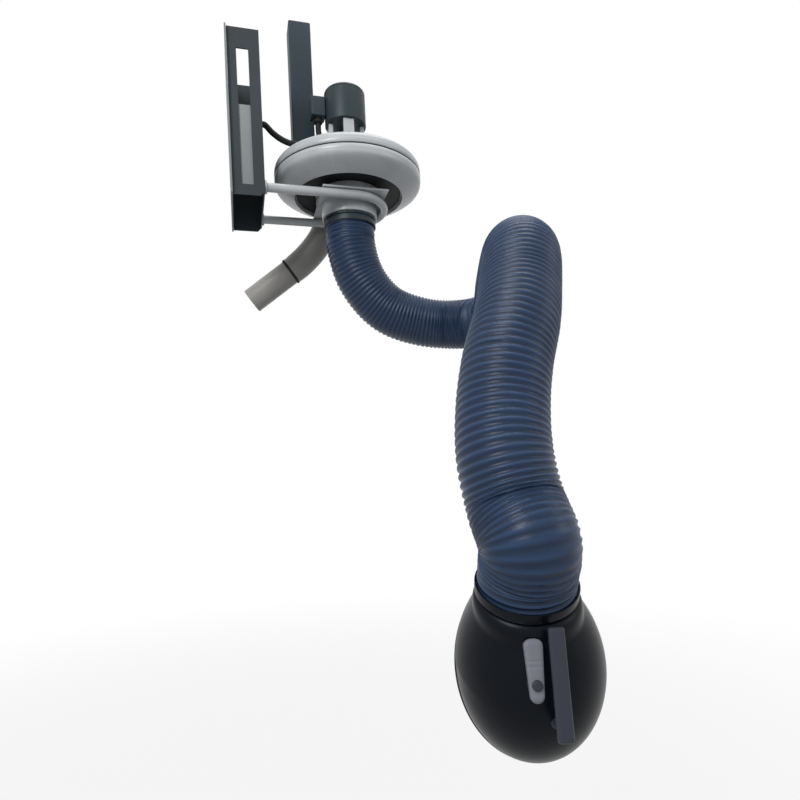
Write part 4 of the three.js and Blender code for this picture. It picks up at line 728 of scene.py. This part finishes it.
# The hood is a deep scoop moulded in satin black plastic, with an oval mouth and a round neck that meets the
# hose. A rubber edging with a round bead is pushed on to the mouth's rim.
MOUTH_WIDE, MOUTH_TALL, SCOOP_DEEP = 125 * MM, 158 * MM, 138 * MM
NECK_RADIUS, NECK_SLOPE, NECK_GAP_MM = 80 * MM, 0.16, 0.3
HOOD_WALL = 4 * MM
MOUTH_WAY = (0.253, 0.945, -0.208)
MOUTH_SIDE = (0.966, -0.259, 0.0)
MOUTH_FROM_NECK_MM = (26, 54, -134)
BEAD_IN, BEAD_WIDE, BEAD_TALL, BEAD_DROP = 2 * MM, 4 * MM, 3.5 * MM, 3.8 * MM
hood_z = -np.array(MOUTH_WAY) / np.linalg.norm(MOUTH_WAY)
hood_x = np.array(MOUTH_SIDE) - np.dot(MOUTH_SIDE, hood_z) * hood_z
hood_x /= np.linalg.norm(hood_x)
hood_turn = np.array([hood_x, np.cross(hood_z, hood_x), hood_z])
mouth_middle = (hose_end + MOUTH_FROM_NECK_MM) * MM
neck_root = hood_turn @ ((hose_end + NECK_GAP_MM * hood_axis) * MM - mouth_middle)
neck_way = hood_turn @ hood_axis


def eased(share):
    """Smooth step: 3t² − 2t³ for t held between 0 and 1."""
    share = np.clip(share, 0, 1)
    return share ** 2 * (3 - 2 * share)


def scoop_skin(inset, rows=72, columns=144):
    """Scoop about the mouth's middle: along each great circle from the neck's edge to the mouth's rim, the
    distance is the 12th root of the summed 12th powers of the half ellipsoid's and the flaring neck cone's
    distances, eased to the neck's edge at the start and to the rim at the end. The cone's distance d solves
    second × d² + first × d + last = 0, and fades out with the heading's share along the neck's axis."""
    cone_limit, fade_from, fade_over, power = 0.25, 0.35, 0.5, 12
    neck_share, rim_share = 0.12, 0.2
    turn = np.linspace(0, 2 * np.pi, columns, endpoint=False)
    side = np.array((1.0, 0.0, 0.0))
    ahead = np.cross(side, neck_way)
    if ahead[1] < 0:
        ahead = -ahead
    neck_radius = NECK_RADIUS - inset
    edge = neck_root + neck_radius * (np.cos(turn)[:, None] * side + np.sin(turn)[:, None] * ahead)
    wide, tall, deep = MOUTH_WIDE - inset, MOUTH_TALL - inset, SCOOP_DEEP - inset
    rim = np.stack([wide * np.cos(turn), tall * np.sin(turn), 0 * turn], axis=-1)
    edge_far = np.linalg.norm(edge, axis=1, keepdims=True)
    start, stop = edge / edge_far, rim / np.linalg.norm(rim, axis=1, keepdims=True)
    between_angle = np.arccos(np.clip(np.sum(start * stop, axis=1), -1, 1))[None, :, None]
    t = np.linspace(0, 1, rows)[:, None, None]
    way = (np.sin((1 - t) * between_angle) * start[None] + np.sin(t * between_angle) * stop[None])
    way /= np.sin(between_angle)
    ball = 1 / np.sqrt((way[..., 0] / wide) ** 2 + (way[..., 1] / tall) ** 2 + (way[..., 2] / deep) ** 2)
    along_neck = way @ neck_way
    root_along = neck_root @ neck_way
    spread = 1 + NECK_SLOPE ** 2
    second = 1 - along_neck ** 2 * spread
    first = -2 * (way @ neck_root) + 2 * along_neck * root_along * spread
    first = first - 2 * neck_radius * NECK_SLOPE * along_neck
    last = neck_root @ neck_root - root_along ** 2 * spread + 2 * neck_radius * NECK_SLOPE * root_along
    last = last - neck_radius ** 2
    inside = np.maximum(first ** 2 - 4 * second * last, 0)
    cone = (-first + np.sqrt(inside)) / (2 * np.where(np.abs(second) < 1e-3, 1e-3, second))
    cone = np.where(second > 0, np.clip(cone, 0, cone_limit), 0) * eased((fade_from - along_neck) / fade_over)
    joined = (ball ** power + cone ** power) ** (1 / power)
    exact = edge_far[None, :, 0] * np.ones_like(joined)
    joined = exact + (joined - exact) * eased(t[..., 0] / neck_share)
    joined = ball + (joined - ball) * eased((1 - t[..., 0]) / rim_share)
    return way * joined[..., None]


def on_hood(points):
    """Carries points from the hood's own frame to their place."""
    return points @ hood_turn + mouth_middle


shell = np.concatenate([scoop_skin(0.0), scoop_skin(HOOD_WALL)[::-1]])
put("hood_scoop", [patch(on_hood(shell), loop=True)], hood_plastic, "hood", "hood_black", "hood_shell",
    sharp=60.0)
rim_turn = np.linspace(0, 2 * np.pi, 160)[:-1]
bead = np.linspace(0, 2 * np.pi, 24, endpoint=False)
rim_out = np.stack([np.cos(rim_turn), np.sin(rim_turn), 0 * rim_turn], axis=-1)
rim_line = rim_out * np.array((MOUTH_WIDE - BEAD_IN, MOUTH_TALL - BEAD_IN, 0))
bead_points = (rim_line[:, None] + BEAD_WIDE * np.cos(bead)[None, :, None] * rim_out[:, None]
               + np.array((0, 0, 1)) * (BEAD_TALL * np.sin(bead) - BEAD_DROP)[None, :, None])
put("mouth_edging", [patch(on_hood(bead_points), loop=True)], black_rubber, "hood", "black_rubber",
    "rim_trim")

# On the scoop's back a grey moulded grip stands on two posts, and beside it a tapered lever turns the
# damper's spindle in a rubber bush, with a round cap over the spindle's end.
GRIP_GREY, LEVER_GREY = "353842", "797b85"
GRIP_HALF, GRIP_EDGE = (12 * MM, 80 * MM, 6 * MM), 4.5 * MM
GRIP_X, GRIP_Y, GRIP_Z = 12 * MM, -16 * MM, 166 * MM
GRIP_POSTS_Y = (-76 * MM, 44 * MM)
GRIP_POST_FOOT, GRIP_POST_RADIUS, GRIP_POST_TOP, GRIP_POST_FLARE = 10 * MM, 8 * MM, 164 * MM, 4 * MM
SPINDLE_X, SPINDLE_Y = -20 * MM, -18 * MM
AXIS_GAP = 0.3 * MM
LEVER_BACK, LEVER_FRONT, LEVER_ENDS_ROUND = -26 * MM, 66 * MM, 10.5 * MM
LEVER_STRAIGHT_HALF = 36 * MM
LEVER_BACK_HALF, LEVER_FRONT_HALF = 10 * MM, 15 * MM
LEVER_Z, LEVER_THICK_HALF, LEVER_SQUARENESS = 147.6 * MM, 7 * MM, 0.45
LEVER_GROOVES, LEVER_GROOVE_WIDTH, LEVER_GROOVE_DEPTH = (34 * MM, 26 * MM), 1.6 * MM, 0.12
LEVER_SIDES = 48
CAP_RADIUS, CAP_CROWN, CAP_LOW, CAP_EDGE, CAP_HIGH = 8 * MM, 6 * MM, 154.9 * MM, 158 * MM, 159.9 * MM
BUSH_INNER, BUSH_OUTER, BUSH_LOW, BUSH_HIGH = 5.3 * MM, 12 * MM, 126.3 * MM, 140.3 * MM
# Moulded plastic: a fine even texture with little shine.
grip_plastic = grained("grey_grip_plastic", GRIP_GREY, 0.4, 2.0)
lever_plastic = grained("pale_lever_plastic", LEVER_GREY, 0.4, 2.0)
bar = moved(block(GRIP_HALF, GRIP_EDGE, 6), (GRIP_X, GRIP_Y, GRIP_Z))
posts = []
for post_y in GRIP_POSTS_Y:
    root = SCOOP_DEEP * math.sqrt(1 - (GRIP_X / MOUTH_WIDE) ** 2 - (post_y / MOUTH_TALL) ** 2) - 1 * MM
    post_line = softened([
        (AXIS_GAP, root), (GRIP_POST_FOOT, root), (GRIP_POST_RADIUS, root + GRIP_POST_FLARE),
        (GRIP_POST_RADIUS, GRIP_POST_TOP), (AXIS_GAP, GRIP_POST_TOP)], 1.2 * MM)
    posts.append(patch(on_hood(moved(turned(post_line, 40), (GRIP_X, post_y, 0))), loop=True))
put("grip_handle", [patch(on_hood(bar), caps=True)] + posts, grip_plastic, "hood", "grip_grey", "handle")
# The lever: rounded-square sections across it, sign(cos)|cos|^0.45 by sign(sin)|sin|^0.45, that widen from
# back to front, shrink as a circle at both ends, and have two shallow grooves.
lever_rows = np.linspace(LEVER_BACK, LEVER_FRONT, 60)
lever_half = np.interp(lever_rows, (LEVER_BACK, LEVER_FRONT), (LEVER_BACK_HALF, LEVER_FRONT_HALF))
past_straight = (np.abs(lever_rows - (LEVER_BACK + LEVER_FRONT) / 2) - LEVER_STRAIGHT_HALF).clip(0)
lever_round = np.sqrt(np.clip(1 - (past_straight / LEVER_ENDS_ROUND) ** 2, 0.02, 1))
lever_turn = np.linspace(0, 2 * np.pi, LEVER_SIDES, endpoint=False)
lever_x = np.sign(np.cos(lever_turn)) * np.abs(np.cos(lever_turn)) ** LEVER_SQUARENESS
lever_z = np.sign(np.sin(lever_turn)) * np.abs(np.sin(lever_turn)) ** LEVER_SQUARENESS
grooves = sum(np.exp(-((lever_rows - groove_at) / LEVER_GROOVE_WIDTH) ** 2) for groove_at in LEVER_GROOVES)
lever_flat = lever_round * (1 - LEVER_GROOVE_DEPTH * grooves)
lever_points = np.stack([SPINDLE_X + np.outer(lever_half * lever_round, lever_x),
                         np.outer(lever_rows + SPINDLE_Y, np.ones(LEVER_SIDES)),
                         LEVER_Z + LEVER_THICK_HALF * np.outer(lever_flat, lever_z)], axis=-1)
put("damper_lever_moulded", [patch(on_hood(lever_points), caps=True)], lever_plastic, "damper", "grip_grey",
    "damper_lever")
spindle_place = (SPINDLE_X, SPINDLE_Y, 0)
cap_profile = softened([
    (AXIS_GAP, CAP_LOW), (CAP_RADIUS, CAP_LOW), (CAP_RADIUS, CAP_EDGE), (CAP_CROWN, CAP_HIGH),
    (AXIS_GAP, CAP_HIGH)], 1 * MM)
lever_cap = on_hood(moved(turned(cap_profile, 40), spindle_place))
put("lever_cap_moulded", [patch(lever_cap, loop=True)], grip_plastic, "damper", "grip_grey", "lever_cap")
bush_profile = ring_section(BUSH_INNER, BUSH_OUTER, BUSH_LOW, BUSH_HIGH, 1 * MM)
bush = on_hood(moved(turned(bush_profile, 40), spindle_place))
put("damper_bush_moulded", [patch(bush, loop=True)], black_rubber, "hood", "black_rubber", "damper_bush")
